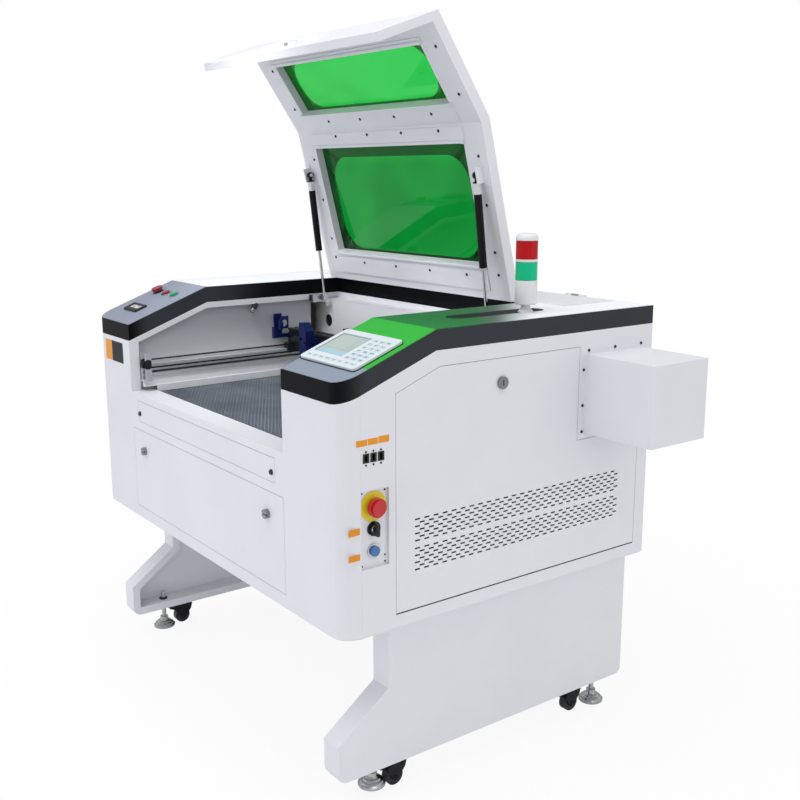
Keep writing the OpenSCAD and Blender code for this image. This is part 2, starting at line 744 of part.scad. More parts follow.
module front_door() placed() color("whitesmoke") difference() {
    door_tray(door_x0, door_z0, door_z1, 8);
    for (x = [lock_x, cab_w - lock_x]) rod_y(-1, 5, x, lock_z, 7.06);
}

// Quarter-turn lock: knob outside, tongue behind the door
module front_lock(x) {
    difference() {
        rod_y(-lock_reach, 0, x, lock_z, 10);
        block([x - 11, -lock_reach - 1, lock_z - 1.2], [x + 11, -lock_reach + 4, lock_z + 1.2]);
    }
    rod_y(-1, 13, x, lock_z, 7);
    block([x - 7, 10, lock_z - 7], [x + 52, 12.5, lock_z + 7]);
}

module front_lock_left() placed() color([0.2, 0.2, 0.22]) front_lock(lock_x);
module front_lock_right() placed() color([0.2, 0.2, 0.22]) mirrored_x() front_lock(lock_x);

// Rows of short slots in the side door, in two bands, each row shifted by half a pitch
slot_pitch = 23;
slot_size = [13, 2.6];
slot_row_step = 8.2;
slot_rows = 7;
slot_cols = 25;

module slot_bands() {
    for (z0 = [cab_z + 113, cab_z + 166], row = [0 : slot_rows - 1], col = [0 : slot_cols - 1])
        translate([168 + slot_pitch * (col + (row % 2) / 2), z0 + slot_row_step * row - slot_size[1] / 2])
            square(slot_size);
}

side_lock_pos = [388, cab_z + 458];

module side_door() placed() color("whitesmoke") difference() {
    union() {
        along_x(cab_w - sheet, cab_w) difference() {
            side_door_outline(0);
            slot_bands();
        }
        along_x(cab_w - 12, cab_w) difference() {
            side_door_outline(0);
            side_door_outline(-sheet);
        }
    }
    rod_x(cab_w - 5, cab_w + 1, side_lock_pos[0], side_lock_pos[1], 9.06);
}

module side_lock() placed() color([0.25, 0.25, 0.27]) {
    y = side_lock_pos[0];
    z = side_lock_pos[1];
    difference() {
        rod_x(cab_w, cab_w + 5, y, z, 13);
        block([cab_w + 2, y - 1.2, z - 6], [cab_w + 6, y + 1.2, z + 6]);
    }
    rod_x(cab_w - 18, cab_w + 1, y, z, 9);
    block([cab_w - 17, y - 8, z - 8], [cab_w - 14.5, y + 56, z + 8]);
}

hatch_hinge_y = 822;
hatch_hinge_z = top_z + 3;

module tube_hatch() placed() color("white") {
    block([100, 660, top_z], [1076, 816, top_z + 2]);
    difference() {
        block([114, 674, top_z - 10], [1062, 802, top_z + 1]);
        block([116, 676, top_z - 11], [1060, 800, top_z]);
    }
    for (x = [200, 560, 920], dx = [0, 44]) difference() {
        union() {
            rod_x(x + dx, x + dx + 20, hatch_hinge_y, hatch_hinge_z, knuckle_r);
            block([x + dx, 814, top_z], [x + dx + 20, hatch_hinge_y, top_z + 2]);
        }
        rod_x(x + dx - 1, x + dx + 21, hatch_hinge_y, hatch_hinge_z, pin_r + 0.06);
    }
}

// ---------- motion ----------

// One side: slotted beam on the ledge, guide on top, idler between two plates, shaft bearing
module y_rail() {
    difference() {
        block([rail_x, jamb_d + 2, ledge_z], [rail_x + rail_w, 576, ledge_z + 30]);
        for (z = [ledge_z + 6, ledge_z + 18])
            block([rail_x + rail_w - 4, jamb_d + 1, z], [rail_x + rail_w + 1, 577, z + 5]);
    }
    block([rail_x + 7, jamb_d + 8, guide_z], [rail_x + 17, 545, guide_z + 10]);
    idler_x = belt_x + belt_w + 3;
    block([belt_x - 8, jamb_d + 2, guide_z], [belt_x - 4, jamb_d + 18, belt_z + 28]);
    block([rail_x + rail_w - 1, jamb_d + 2, ledge_z], [idler_x + 3.5, jamb_d + 18, ledge_z + 3]);
    block([idler_x, jamb_d + 2, ledge_z], [idler_x + 3.5, jamb_d + 18, belt_z + 28]);
    rod_x(belt_x - 5, idler_x + 1, belt_front_y, belt_z, 3);
    rod_x(belt_x + 0.5, belt_x + belt_w - 0.5, belt_front_y, belt_z, belt_r - 0.2);
    difference() {
        block([rail_x, belt_rear_y - 12, guide_z], [rail_x + 18, belt_rear_y + 14, belt_z + 12]);
        rod_x(rail_x - 1, rail_x + 19, belt_rear_y, belt_z, 5.05);
    }
}

module y_axis_rails() placed() color([0.74, 0.75, 0.77]) both_sides() y_rail();

module belt_outline(r) {
    for (y = [belt_front_y, belt_rear_y]) translate([y, belt_z]) circle(r = r);
    translate([belt_front_y, belt_z - r]) square([belt_rear_y - belt_front_y, 2 * r]);
}

module y_belts() placed() color([0.07, 0.07, 0.07]) both_sides() along_x(belt_x, belt_x + belt_w) difference() {
    belt_outline(belt_r + belt_t);
    belt_outline(belt_r);
}

module drive_shaft() placed() color("silver") {
    rod_x(rail_x + 2, cab_w - rail_x - 2, belt_rear_y, belt_z, 5);
    for (x = [belt_x - 1, cab_w - belt_x - belt_w - 1]) rod_x(x, x + belt_w + 2, belt_rear_y, belt_z, belt_r - 0.4);
}

// Black beam across the chamber, its end carriages, the X guide and the X motor
module gantry_beam() placed() color([0.12, 0.12, 0.13]) {
    z0 = guide_z + 25;
    difference() {
        block([rail_x + 2, gantry_y - 17, z0], [cab_w - rail_x - 2, gantry_y + 17, z0 + 40]);
        for (y = [gantry_y - 18, gantry_y + 13]) block([rail_x, y, z0 + 27], [cab_w - rail_x, y + 5, z0 + 35]);
        block([rail_x, gantry_y - 4, z0 + 36], [cab_w - rail_x, gantry_y + 4, z0 + 41]);
    }
    both_sides() difference() {
        block([rail_x + 2, gantry_y - 30, guide_z + 4], [rail_x + 22, gantry_y + 30, z0]);
        block([rail_x + 6.7, gantry_y - 31, guide_z], [rail_x + 17.3, gantry_y + 31, guide_z + 10.3]);
    }
    both_sides() block([rail_x + 21, gantry_y - 15, belt_z + 3], [belt_x + belt_w + 1, gantry_y + 15, belt_z + belt_r - 0.4]);
    block([rail_x + 40, gantry_y - 25, z0 + 12], [cab_w - rail_x - 40, gantry_y - 17, z0 + 22]);
    block([cab_w - rail_x - 60, gantry_y + 17, z0], [cab_w - rail_x - 18, gantry_y + 62, z0 + 42]);
}

// Blue bracket at the left end of the beam: the 45 degree mirror and the ring it shines through
module gantry_mirror() placed() color([0.12, 0.14, 0.4]) {
    z0 = guide_z + 65;
    block([rail_x + 3, optic_y - 22, z0 - 22], [rail_x + 16, optic_y + 2, z0 + 6]);
    block([rail_x + 12, optic_y - 22, z0 + 5], [rail_x + 16, optic_y + 2, z0 + 44]);
    block([rail_x + 3, optic_y - 22, z0 - 24], [rail_x + 13, gantry_y - 17, z0 - 14]);
    block([rail_x + 12, optic_y - 12, beam_z - 13], [rail_x + 35, optic_y - 6, beam_z - 7]);
    translate([beam_x, optic_y, 0]) rotate([0, 0, 45]) {
        block([-10, -8.6, beam_z - 12], [-6, 8.6, beam_z + 14]);
        difference() {
            rod_x(-7, -1, 0, beam_z, 9);
            rod_x(-4, 0, 0, beam_z, 7.5);
        }
    }
    difference() {
        block([rail_x + 31, optic_y - 12, beam_z - 9], [rail_x + 35, optic_y + 12, beam_z + 25]);
        rod_x(rail_x + 30, rail_x + 36, optic_y, beam_z + 6, 9.5);
    }
}

// Carriage on the X guide, blue mirror block and the collar of the lens tube
module laser_head() placed() color([0.12, 0.14, 0.4]) {
    z0 = guide_z + 25;
    difference() {
        block([head_x - 24, gantry_y - 36, z0 + 4], [head_x + 24, gantry_y - 19, z0 + 30]);
        block([head_x - 25, gantry_y - 25.3, z0 + 11.7], [head_x + 25, gantry_y - 18, z0 + 22.3]);
    }
    difference() {
        block([head_x - 17, optic_y - 14, z0 - 24], [head_x + 17, gantry_y - 35, z0 + 72]);
        rod_x(head_x - 18, head_x + 4, optic_y, beam_z, 7);
        rod_z(z0 - 25, z0 + 20, head_x, optic_y, 9.05);
        translate([head_x + 17, optic_y - 15, z0 + 72]) rotate([-90, 0, 0]) rotate([0, 0, 45]) translate([-14, -14, 0]) cube([28, 28, 26]);
    }
    rod_y(optic_y - 20, optic_y - 14, head_x - 9, z0 + 30, 4);
    rod_y(optic_y - 20, optic_y - 14, head_x + 9, z0 + 20, 4);
}

module nozzle() placed() color("goldenrod") translate([head_x, optic_y, 0]) rotate_extrude() polygon([
    [0, cab_z + 352], [2, cab_z + 352], [5, cab_z + 364], [9, cab_z + 372], [9, cab_z + 412], [0, cab_z + 412]
]);

// ---------- bed ----------

module bed_frame() placed() color([0.15, 0.15, 0.16]) difference() {
    union() {
        block([bed_x0, bed_y0, bed_top - bed_t - 12], [cab_w - bed_x0, bed_y1, bed_top]);
        for (x = [screw_x - 14, cab_w - bed_x0], y = [screw_front_y, screw_rear_y])
            block([x, y - 16, bed_top - bed_t - 12], [x + bed_x0 - screw_x + 14, y + 16, bed_top - bed_t - 2]);
    }
    block([bed_x0 + 3, bed_y0 + 3, bed_top - bed_t], [cab_w - bed_x0 - 3, bed_y1 - 3, bed_top + 1]);
    for (bay = [0 : 2]) {
        x = bed_x0 + 22 + bay * 226;
        block([x, bed_y0 + 22, bed_top - bed_t - 13], [x + 200, bed_y1 - 22, bed_top]);
    }
    for (x = [screw_x, cab_w - screw_x], y = [screw_front_y, screw_rear_y])
        rod_z(bed_top - bed_t - 13, bed_top, x, y, screw_r + 0.1);
}

// Honeycomb panel: rows of hexagonal cells, every second row shifted
cell_r = 15;
cell_wall = 2.4;
module honeycomb() placed() color([0.55, 0.58, 0.6]) {
    lo = [bed_x0 + 3, bed_y0 + 3];
    hi = [cab_w - bed_x0 - 3, bed_y1 - 3];
    step_x = cell_r * 1.5 + cell_wall * cos(30);
    step_y = cell_r * sqrt(3) + cell_wall;
    cols = floor((hi[0] - lo[0] - 2 * cell_r - 8) / step_x);
    rows = floor((hi[1] - lo[1] - step_y * 1.5 - 6) / step_y);
    start_x = (lo[0] + hi[0] - cols * step_x) / 2;
    start_y = (lo[1] + hi[1] - (rows + 0.5) * step_y) / 2;
    translate([0, 0, bed_top - bed_t]) linear_extrude(bed_t) difference() {
        translate(lo) square(hi - lo);
        for (c = [0 : cols], r = [0 : rows])
            translate([start_x + c * step_x, start_y + (r + (c % 2) / 2) * step_y]) circle(r = cell_r, $fn = 6);
    }
}

// Lift screw with its toothed pulley near the tub floor
module lift_screw(x, y) {
    rod_z(liner_floor + liner_t + 0.5, cab_z + 336, x, y, screw_r);
    rod_z(liner_floor + liner_t + 4, liner_floor + liner_t + 14, x, y, 15);
}

module lift_screw_front_left() placed() color("silver") lift_screw(screw_x, screw_front_y);
module lift_screw_front_right() placed() color("silver") lift_screw(cab_w - screw_x, screw_front_y);
module lift_screw_rear_left() placed() color("silver") lift_screw(screw_x, screw_rear_y);
module lift_screw_rear_right() placed() color("silver") lift_screw(cab_w - screw_x, screw_rear_y);

// ---------- feet and casters ----------

// Turned base in steps with a threaded stem; up is how far it is screwed back into the leg
module levelling_foot(x, y, up = 0) translate([x, y, up]) rotate_extrude() polygon([
    [0, 0], [28, 0], [29, 1.5], [29, 6], [25, 8.5], [24, 11.5], [19, 13.5], [18, 16.5],
    [12.5, 18.5], [11, 21.5], [11, 29], [screw_r, 30], [screw_r, foot_h + 42], [0, foot_h + 42]
]);

module foot_front_left() placed() color("silver") levelling_foot(leg_mid, foot_front_y);
module foot_front_right() placed() color("silver") levelling_foot(cab_w - leg_mid, foot_front_y, foot_raised);
module foot_rear_left() placed() color("silver") levelling_foot(leg_mid, foot_rear_y);
module foot_rear_right() placed() color("silver") levelling_foot(cab_w - leg_mid, foot_rear_y);

// Swivel head, hood with two cheeks over the wheel, brake pedal ahead of it
module caster_fork(x, y) {
    wheel_y = y - caster_trail;
    rod_z(foot_h - 10, foot_h - 3.3, x, y, 17);
    difference() {
        along_x(x - 14, x + 14) union() {
            translate([wheel_y, wheel_r]) circle(r = 9);
            polygon([
                [wheel_y - 9, wheel_r], [wheel_y - 22, 37], [wheel_y - 20, 46], [y - 17, foot_h - 8],
                [y + 16, foot_h - 8], [y + 12, 38], [wheel_y + 8, wheel_r - 3]
            ]);
        }
        along_x(x - 10.5, x + 10.5) translate([wheel_y, wheel_r]) circle(r = wheel_r + 2);
        block([x - 10.5, y - 60, 0], [x + 10.5, y + 60, wheel_r]);
    }
    along_x(x - 9, x + 9) polygon([[wheel_y - 20, 41], [wheel_y - 36, 45], [wheel_y - 37, 48], [wheel_y - 18, 48]]);
    rod_x(x - 16, x + 16, wheel_y, wheel_r, 3);
}

module caster_wheel(x, y) translate([x, y - caster_trail, wheel_r]) rotate([0, 90, 0]) difference() {
    union() {
        cylinder(r = wheel_r, h = 18, center = true);
        cylinder(r = 8, h = 20.4, center = true);
    }
    cylinder(r = 3.05, h = 24, center = true);
}

module caster_fork_front_left() placed() color("black") caster_fork(leg_mid, caster_front_y);
module caster_fork_front_right() placed() color("black") caster_fork(cab_w - leg_mid, caster_front_y);
module caster_fork_rear_left() placed() color("black") caster_fork(leg_mid, caster_rear_y);
module caster_fork_rear_right() placed() color("black") caster_fork(cab_w - leg_mid, caster_rear_y);
module caster_wheel_front_left() placed() color("dimgray") caster_wheel(leg_mid, caster_front_y);
module caster_wheel_front_right() placed() color("dimgray") caster_wheel(cab_w - leg_mid, caster_front_y);
module caster_wheel_rear_left() placed() color("dimgray") caster_wheel(leg_mid, caster_rear_y);
module caster_wheel_rear_right() placed() color("dimgray") caster_wheel(cab_w - leg_mid, caster_rear_y);

cabinet_shell();
top_frame();
top_cover();
chamber_liner();
rear_panel();
leg_frames();
tube_end_box();
laser_tube();
tube_mounts();
y_axis_rails();
y_belts();
control_panel();
switch_panel();
sockets();
tower_light();
electronics_modules();
lid_fittings();
lid_shell();
lid_frame();
lid_windows();
strut_cylinder_left();
strut_cylinder_right();
strut_rod_left();
strut_rod_right();
front_flap();
front_door();
front_lock_left();
front_lock_right();
side_door();
side_lock();
tube_hatch();
gantry_beam();
gantry_mirror();
drive_shaft();
laser_head();
nozzle();
bed_frame();
honeycomb();
lift_screw_front_left();
lift_screw_front_right();
lift_screw_rear_left();
lift_screw_rear_right();
emergency_stop();
key_switch();
power_button();
deck_stop();
deck_red_button();
deck_green_button();
foot_front_left();
foot_front_right();
foot_rear_left();
foot_rear_right();
caster_fork_front_left();
caster_fork_front_right();
caster_fork_rear_left();
caster_fork_rear_right();
caster_wheel_front_left();
caster_wheel_front_right();
caster_wheel_rear_left();
caster_wheel_rear_right();
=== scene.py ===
import json
import math
from functools import partial

import bmesh
import bpy
from mathutils import Matrix, Vector


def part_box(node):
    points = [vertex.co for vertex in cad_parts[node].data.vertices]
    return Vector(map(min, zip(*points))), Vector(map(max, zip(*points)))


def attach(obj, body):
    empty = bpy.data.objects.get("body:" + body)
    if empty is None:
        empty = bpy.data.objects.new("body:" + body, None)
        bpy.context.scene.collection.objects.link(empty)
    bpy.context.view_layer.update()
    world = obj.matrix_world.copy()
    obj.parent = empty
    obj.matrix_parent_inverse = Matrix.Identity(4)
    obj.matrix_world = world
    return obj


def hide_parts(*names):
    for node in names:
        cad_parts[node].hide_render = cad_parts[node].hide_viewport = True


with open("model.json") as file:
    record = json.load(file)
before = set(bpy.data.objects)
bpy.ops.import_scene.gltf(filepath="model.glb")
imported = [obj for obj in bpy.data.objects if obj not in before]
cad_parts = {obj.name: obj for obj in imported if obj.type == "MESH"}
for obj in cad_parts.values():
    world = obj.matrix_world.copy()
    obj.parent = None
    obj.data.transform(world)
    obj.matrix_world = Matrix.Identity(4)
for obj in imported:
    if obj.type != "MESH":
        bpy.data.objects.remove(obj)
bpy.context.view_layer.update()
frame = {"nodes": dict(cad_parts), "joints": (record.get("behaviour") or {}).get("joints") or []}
nodes = frame["nodes"]
joints = {joint["name"]: joint for joint in frame["joints"]}
scene = bpy.context.scene

# Places are in mm from the cabinet's front left corner at the floor
shellLow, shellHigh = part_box("cabinet_shell")
cabinetWidth = (shellHigh.x - shellLow.x) * 1000
cabinetFloor = shellLow.z * 1000
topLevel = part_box("top_cover")[1].z * 1000
slopeRun, slopeDrop = 219, 82  # the decks fall away towards the front
slopeAngle = math.atan(slopeDrop / slopeRun)
frontTop = topLevel - slopeDrop
noseReach, lidFrontLow = 16, 724  # the lid's front panel leans back below its nose
noseTop = frontTop - noseReach * slopeDrop / slopeRun
noseAngle = math.atan(noseReach / (noseTop - lidFrontLow))
corners = ("front_left", "front_right", "rear_left", "rear_right")

inMetres = Matrix.Scale(0.001, 4)
cabinetMatrix = Matrix.Translation((shellLow.x, shellLow.y, 0)) @ inMetres
slopeOnly = Matrix.Translation((0, 0, frontTop)) @ Matrix.Rotation(slopeAngle, 4, "X")
slopeMatrix = cabinetMatrix @ slopeOnly
lidHinge = Vector(joints["lid_hinge"]["pos_m"])
lidOpen = math.radians(joints["lid_hinge"]["range_deg"][1])
lidMatrix = (Matrix.Translation(lidHinge) @ Matrix.Rotation(-lidOpen, 4, "X")
             @ Matrix.Translation(-lidHinge) @ cabinetMatrix)
lidSlopeMatrix = lidMatrix @ slopeOnly
# Lid's front panel: x across, y down from the nose, z inward
frontPanelMatrix = (lidMatrix @ Matrix.Translation((0, -noseReach, noseTop))
                    @ Matrix.Rotation(noseAngle - math.pi / 2, 4, "X"))


# Middle of a node's box, in the frame's mm
def centreOf(name):
    low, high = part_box(name)
    return (low + high) * 500


def fromHex(code):
    parts = [int(code[i:i + 2], 16) / 255 for i in (1, 3, 5)]
    return tuple(c / 12.92 if c <= 0.04045 else ((c + 0.055) / 1.055) ** 2.4 for c in parts) + (1.0,)


# Adds one node: its inputs by name or in order, each a value, a hex colour or a socket, then its operation where
# the kind has one; gives back one output
def addNode(tree, kind, inputs=(), operation=None, out=0, **settings):
    made = tree.nodes.new("ShaderNode" + kind)
    if operation:
        made.operation = operation
    for key, value in settings.items():
        setattr(made, key, value)
    for key, value in dict(inputs if isinstance(inputs, dict) else enumerate(inputs)).items():
        if isinstance(value, bpy.types.NodeSocket):
            tree.links.new(value, made.inputs[key])
        else:
            made.inputs[key].default_value = fromHex(value) if isinstance(value, str) else value
    return made.outputs[out] if made.outputs else made


# Empties the node tree of a material or world and gives back what adds nodes to it
def startTree(owner):
    owner.use_nodes = True
    owner.node_tree.nodes.clear()
    return partial(addNode, owner.node_tree)


materials = {}


# Gives what adds a material's nodes, the surface's place, and finish, which links the colour, the gloss (a pattern
# and the roughness it ranges over) and the relief (a pattern, its strength and its depth in mm) to the shader
def startMaterial(name, values):
    material = materials[name] = bpy.data.materials.new(name)
    add = startTree(material)
    shader = add("BsdfPrincipled", values).node
    add("OutputMaterial", {"Surface": shader.outputs[0]})

    def finish(colour, gloss, relief, **others):
        height, strength, depthMm = relief
        bump = add("Bump", {"Height": height, "Strength": strength, "Distance": depthMm / 1000})
        rough = add("MapRange", gloss) if isinstance(gloss, list) else gloss
        for key, value in {"Base Color": colour, "Roughness": rough, "Normal": bump, **others}.items():
            if value is not None:
                material.node_tree.links.new(value, shader.inputs[key])

    return add, add("TexCoord", out="Object"), finish


# Mask that rises over low, a (start, end) pair, and falls again over high; either side may be left open
def band(add, value, low=None, high=None):
    edges = [add("MapRange", [value, *edge], interpolation_type="SMOOTHSTEP") for edge in (low, high) if edge]
    if high:
        edges[-1] = add("Math", [1.0, edges[-1]], "SUBTRACT")
    return add("Math", edges, "MULTIPLY") if len(edges) == 2 else edges[0]


def insideBox(add, u, v, low, high, soft=0.3):
    sides = [band(add, value, (low[i] - soft, low[i] + soft), (high[i] - soft, high[i] + soft))
             for i, value in enumerate((u, v))]
    return add("Math", sides, "MULTIPLY")


def insideDisc(add, u, v, centre, radius, soft=0.3):
    squares = []
    for value, middle in zip((u, v), centre):
        offset = add("Math", [value, middle], "SUBTRACT")
        squares.append(add("Math", [offset, offset], "MULTIPLY"))
    distance = add("Math", [add("Math", squares, "ADD"), 0.5], "POWER")
    return band(add, distance, high=(radius - soft, radius + soft))


# A colour with others laid over it in turn, each a (mask, colour) pair
def layered(add, colour, *coats):
    for mask, above in coats:
        colour = add("Mix", {0: mask, 6: colour, 7: above}, out=2, data_type="RGBA")
    return colour


# The x, y and z of the surface in mm from the cabinet's front left corner
def cabinetPlaces(add, place):
    shift = (-shellLow.x * 1000, -shellLow.y * 1000, 0)
    inMm = add("Mapping", {"Vector": place, "Location": shift, "Scale": (1000, 1000, 1000)})
    return add("SeparateXYZ", [inMm]).node.outputs


# Sprayed or moulded finish: a fine bump of grainMm, a slow drift of colour and a slow drift of gloss
def fineFinish(name, colour, drift, roughness, grainMm, bumpMm, values={}):
    add, place, finish = startMaterial(name, {"IOR": 1.5, **values})
    slow = add("TexNoise", {"Vector": place, "Scale": 5.0, "Detail": 3.0, "Roughness": 0.6})
    fine = add("TexNoise", {"Vector": place, "Scale": 1000 / grainMm, "Detail": 2.0})
    tint = add("MapRange", [slow, 0.3, 0.7])
    finish(layered(add, colour, (tint, drift)), [slow, 0.25, 0.75, roughness * 0.88, roughness * 1.12],
           [fine, 0.35, bumpMm])


# Metal with fine parallel marks across the given axis, from drawing, turning or grinding
def markedMetal(name, colour, roughness, spacingMm, axis):
    add, place, finish = startMaterial(name, {"Metallic": 1.0, "Base Color": colour})
    stretch = [30.0, 30.0, 30.0]
    stretch["XYZ".index(axis)] = 1000 / spacingMm
    lined = add("Mapping", {"Vector": place, "Scale": stretch})
    marks = add("TexNoise", {"Vector": lined, "Scale": 1.0, "Detail": 3.0})
    smudge = add("TexNoise", {"Vector": place, "Scale": 25.0, "Detail": 4.0})
    both = add("Math", [marks, smudge], "ADD")
    finish(None, [both, 0.6, 1.4, roughness * 0.75, roughness * 1.3], [marks, 0.2, 0.05])


coatShine = {"Coat Weight": 0.3}
windowShine = {"Coat Weight": 1.0}
# Each with its colour, the colour it drifts to, roughness, grain and depth of the bump in mm
evenFinishes = {
    # polyester powder coat, sprayed dry and oven-cured: orange peel about 1.5 mm across, soft satin gloss
    "powderCoatWhite": ("#E4E5EA", "#E0E1E6", 0.38, 1.5, 0.06),
    "powderCoatBlack": ("#101113", "#141517", 0.45, 1.2, 0.08, {"Specular IOR Level": 0.25}),
    # the lid frame's coat is the cabinet's white, painted a touch lighter as painted light on the shaded frame
    "powderCoatFrameLit": ("#E6E7EC", "#E1E2E8", 0.36, 1.5, 0.06),
    # injection-moulded ABS: an even spark-eroded grain of about half a millimetre
    "mouldedAbsBlack": ("#17181A", "#1C1D20", 0.45, 0.5, 0.03),
    "mouldedAbsWhite": ("#E4E4E6", "#DEDEE0", 0.3, 0.6, 0.01),
    "mouldedAbsRed": ("#C2161E", "#B81219", 0.26, 0.6, 0.01, coatShine),
    "mouldedAbsCrimson": ("#96182E", "#8A1428", 0.26, 0.6, 0.01, coatShine),
    "mouldedAbsGreen": ("#12A56A", "#0F9860", 0.28, 0.6, 0.01, coatShine),
    "mouldedAbsBlue": ("#3E72B0", "#3768A4", 0.28, 0.6, 0.01, coatShine),
    "mouldedAbsGrey": ("#6E7276", "#666A6E", 0.45, 0.5, 0.03),
    # calendered vinyl films, plain black and plain orange
    "vinylBlack": ("#17181A", "#1C1D20", 0.36, 0.9, 0.01, {"Specular IOR Level": 0.15}),
    "vinylOrange": ("#E99A22", "#E08E1C", 0.34, 0.9, 0.01, {"Specular IOR Level": 0.3}),
    # stove enamel of the strut cylinders, baked smooth and glossy
    "stoveEnamelBlack": ("#0A0B0B", "#0E0F10", 0.26, 3.0, 0.02, {"Specular IOR Level": 0.2}),
    # uncoated paper, matt and slightly fibrous
    "paperLabelWhite": ("#DDDDE0", "#D4D4D8", 0.5, 0.4, 0.01),
    # cast nylon of the casters, slightly waxy
    "castNylonBlack": ("#1B1B1C", "#242425", 0.38, 0.8, 0.02),
    "castNylonCream": ("#D8D2C4", "#CEC8BA", 0.36, 0.8, 0.01),
    # anodised aluminium, dyed in the bath: an even satin face
    "anodisedBlack": ("#1C1E22", "#22242A", 0.36, 0.4, 0.01, {"Specular IOR Level": 0.6}),
    "anodisedBlue": ("#222B72", "#1C2566", 0.3, 0.4, 0.01, {"Metallic": 0.55}),
    # phosphated screws: dark grey, a little oily
    "phosphatedSteel": ("#3A3C40", "#2C2E32", 0.32, 0.6, 0.01, {"Metallic": 0.7}),
    # moulded nitrile rubber, matt
    "nitrileRubber": ("#141516", "#1A1B1C", 0.55, 0.8, 0.02),
    # clear polycarbonate windows with the pale face behind them
    "displayGlass": ("#B4C6C6", "#A8BBBC", 0.1, 3.0, 0.01, windowShine),
    "meterFace": ("#E2E4E2", "#D8DAD8", 0.25, 0.8, 0.01, windowShine),
}
# Each with its colour, roughness, the spacing of its marks in mm and the axis they are spaced along
markedMetals = {
    "groundSteel": ("#C4C5C8", 0.24, 0.3, "X"),
    "chromePlate": ("#D2D3D6", 0.12, 2.5, "Z"),
    "zincPlate": ("#C2C3C4", 0.24, 0.8, "Z"),
    "darkChrome": ("#8E9298", 0.16, 1.5, "Z"),
    "turnedBrass": ("#C8A25A", 0.25, 0.3, "Z"),
}
for name, values in evenFinishes.items():
    fineFinish(name, *values)
for name, values in markedMetals.items():
    markedMetal(name, *values)


# Cast acrylic sheet dyed green right through: glossy faces with a faint waviness
def castAcrylic():
    add, place, finish = startMaterial("castAcrylicGreen", {
        "Transmission Weight": 1.0, "IOR": 1.49, "Specular Tint": "#0C3A1C"})
    level = cabinetPlaces(add, place)[2]
    swirl = add("TexNoise", {"Vector": place, "Scale": 2.2, "Detail": 2.0, "Distortion": 1.2})
    swirl = band(add, swirl, (0.35, 0.65))
    # the large lower sheet is painted a deeper green as painted shade, for the shaded things seen through it
    lowerSheet = layered(add, "#08852F", (swirl, "#109A3A"))
    upperSheet = layered(add, "#1DBE44", (swirl, "#2ACB50"))
    dyeAndShade = layered(add, lowerSheet, (band(add, level, (1270, 1370)), upperSheet))
    wave = add("TexNoise", {"Vector": place, "Scale": 9.0, "Detail": 1.0})
    smear = add("TexNoise", {"Vector": place, "Scale": 14.0, "Detail": 5.0})
    finish(dyeAndShade, [smear, 0.35, 0.75, 0.015, 0.09], [wave, 0.15, 2])


# Moulded polycarbonate lens with slanting prism ribs inside, about 4 mm apart
def ribbedLens(name, colour):
    add, place, finish = startMaterial(name, {
        "Base Color": colour, "Transmission Weight": 0.15, "IOR": 1.5, "Specular IOR Level": 0.25})
    ribs = add("TexWave", {"Vector": place, "Scale": 100.0, "Distortion": 0.0}, out="Fac",
               wave_type="BANDS", bands_direction="DIAGONAL")
    cloud = add("TexNoise", {"Vector": place, "Scale": 60.0})
    finish(None, [cloud, 0, 1, 0.16, 0.26], [ribs, 0.25, 0.4])


# Borosilicate glass tube, drawn and fire-polished: long faint draw lines
def drawnGlass():
    add, place, finish = startMaterial("borosilicateGlass", {
        "Base Color": "#E8F2F0", "Transmission Weight": 0.9, "IOR": 1.47})
    drawn = add("Mapping", {"Vector": place, "Scale": (2.0, 60.0, 60.0)})
    lines = add("TexNoise", {"Vector": drawn, "Scale": 1.0, "Detail": 2.0})
    finish(None, [lines, 0, 1, 0.02, 0.06], [lines, 0.2, 0.5])


# Clear anodised rail with the fine lines of the extrusion die: bright lips, T-slots painted dark as painted shade,
# plain aluminium end plates round a dark idler
def railFinish():
    add, place, finish = startMaterial("anodisedRail", {"Metallic": 0.15, "IOR": 1.5})
    y, z = cabinetPlaces(add, place)[1:]
    lined = add("Mapping", {"Vector": place, "Scale": (900.0, 4.0, 900.0)})
    marks = add("TexNoise", {"Vector": lined, "Scale": 1.0, "Detail": 3.0})
    slotLow, slotHigh, idler = cabinetFloor + 373, cabinetFloor + 379, (34, cabinetFloor + 398)
    # painted shade: the T-slots are painted dark
    slot = band(add, z, (slotLow - 0.6, slotLow + 0.6), (slotHigh - 0.6, slotHigh + 0.6))
    colour = layered(add, "#ECEEF1", (marks, "#DDE0E4"), (slot, "#4A4E55"),
                     (band(add, y, high=(44, 44.6)), "#B9BDC3"), (insideDisc(add, y, z, idler, 12.5), "#1E2023"))
    finish(colour, [marks, 0, 1, 0.32, 0.48], [marks, 0.2, 0.05])


# Powder-coated liner sheets of one white coat, with light and shade painted in: painted shade makes the left wall
# greyer, most of all high up, and painted light makes the ledges and the rear wall whiter
def linerCoat():
    add, place, finish = startMaterial("powderCoatLiner", {"IOR": 1.5})
    x, y, z = cabinetPlaces(add, place)
    slow = add("TexNoise", {"Vector": place, "Scale": 5.0, "Detail": 3.0})
    fine = add("TexNoise", {"Vector": place, "Scale": 660.0, "Detail": 2.0})
    ledge = cabinetFloor + 356
    # painted shade: the left wall is greyer, paler only near the ledge
    shadedLeftWall = layered(add, "#B9BBC2", (band(add, z, high=(ledge + 30, ledge + 130)), "#D6D8DD"))
    # painted light: the ledges, below the ledge level, and the rear wall are painted whiter
    colour = layered(add, "#D2D4DA", (slow, "#C9CBD2"), (band(add, x, high=(199, 201)), shadedLeftWall),
                     (band(add, z, high=(ledge - 1, ledge + 1)), "#F1F2F5"), (band(add, y, (570, 580)), "#E6E6EA"))
    finish(colour, [slow, 0, 1, 0.27, 0.36], [fine, 0.35, 0.05])
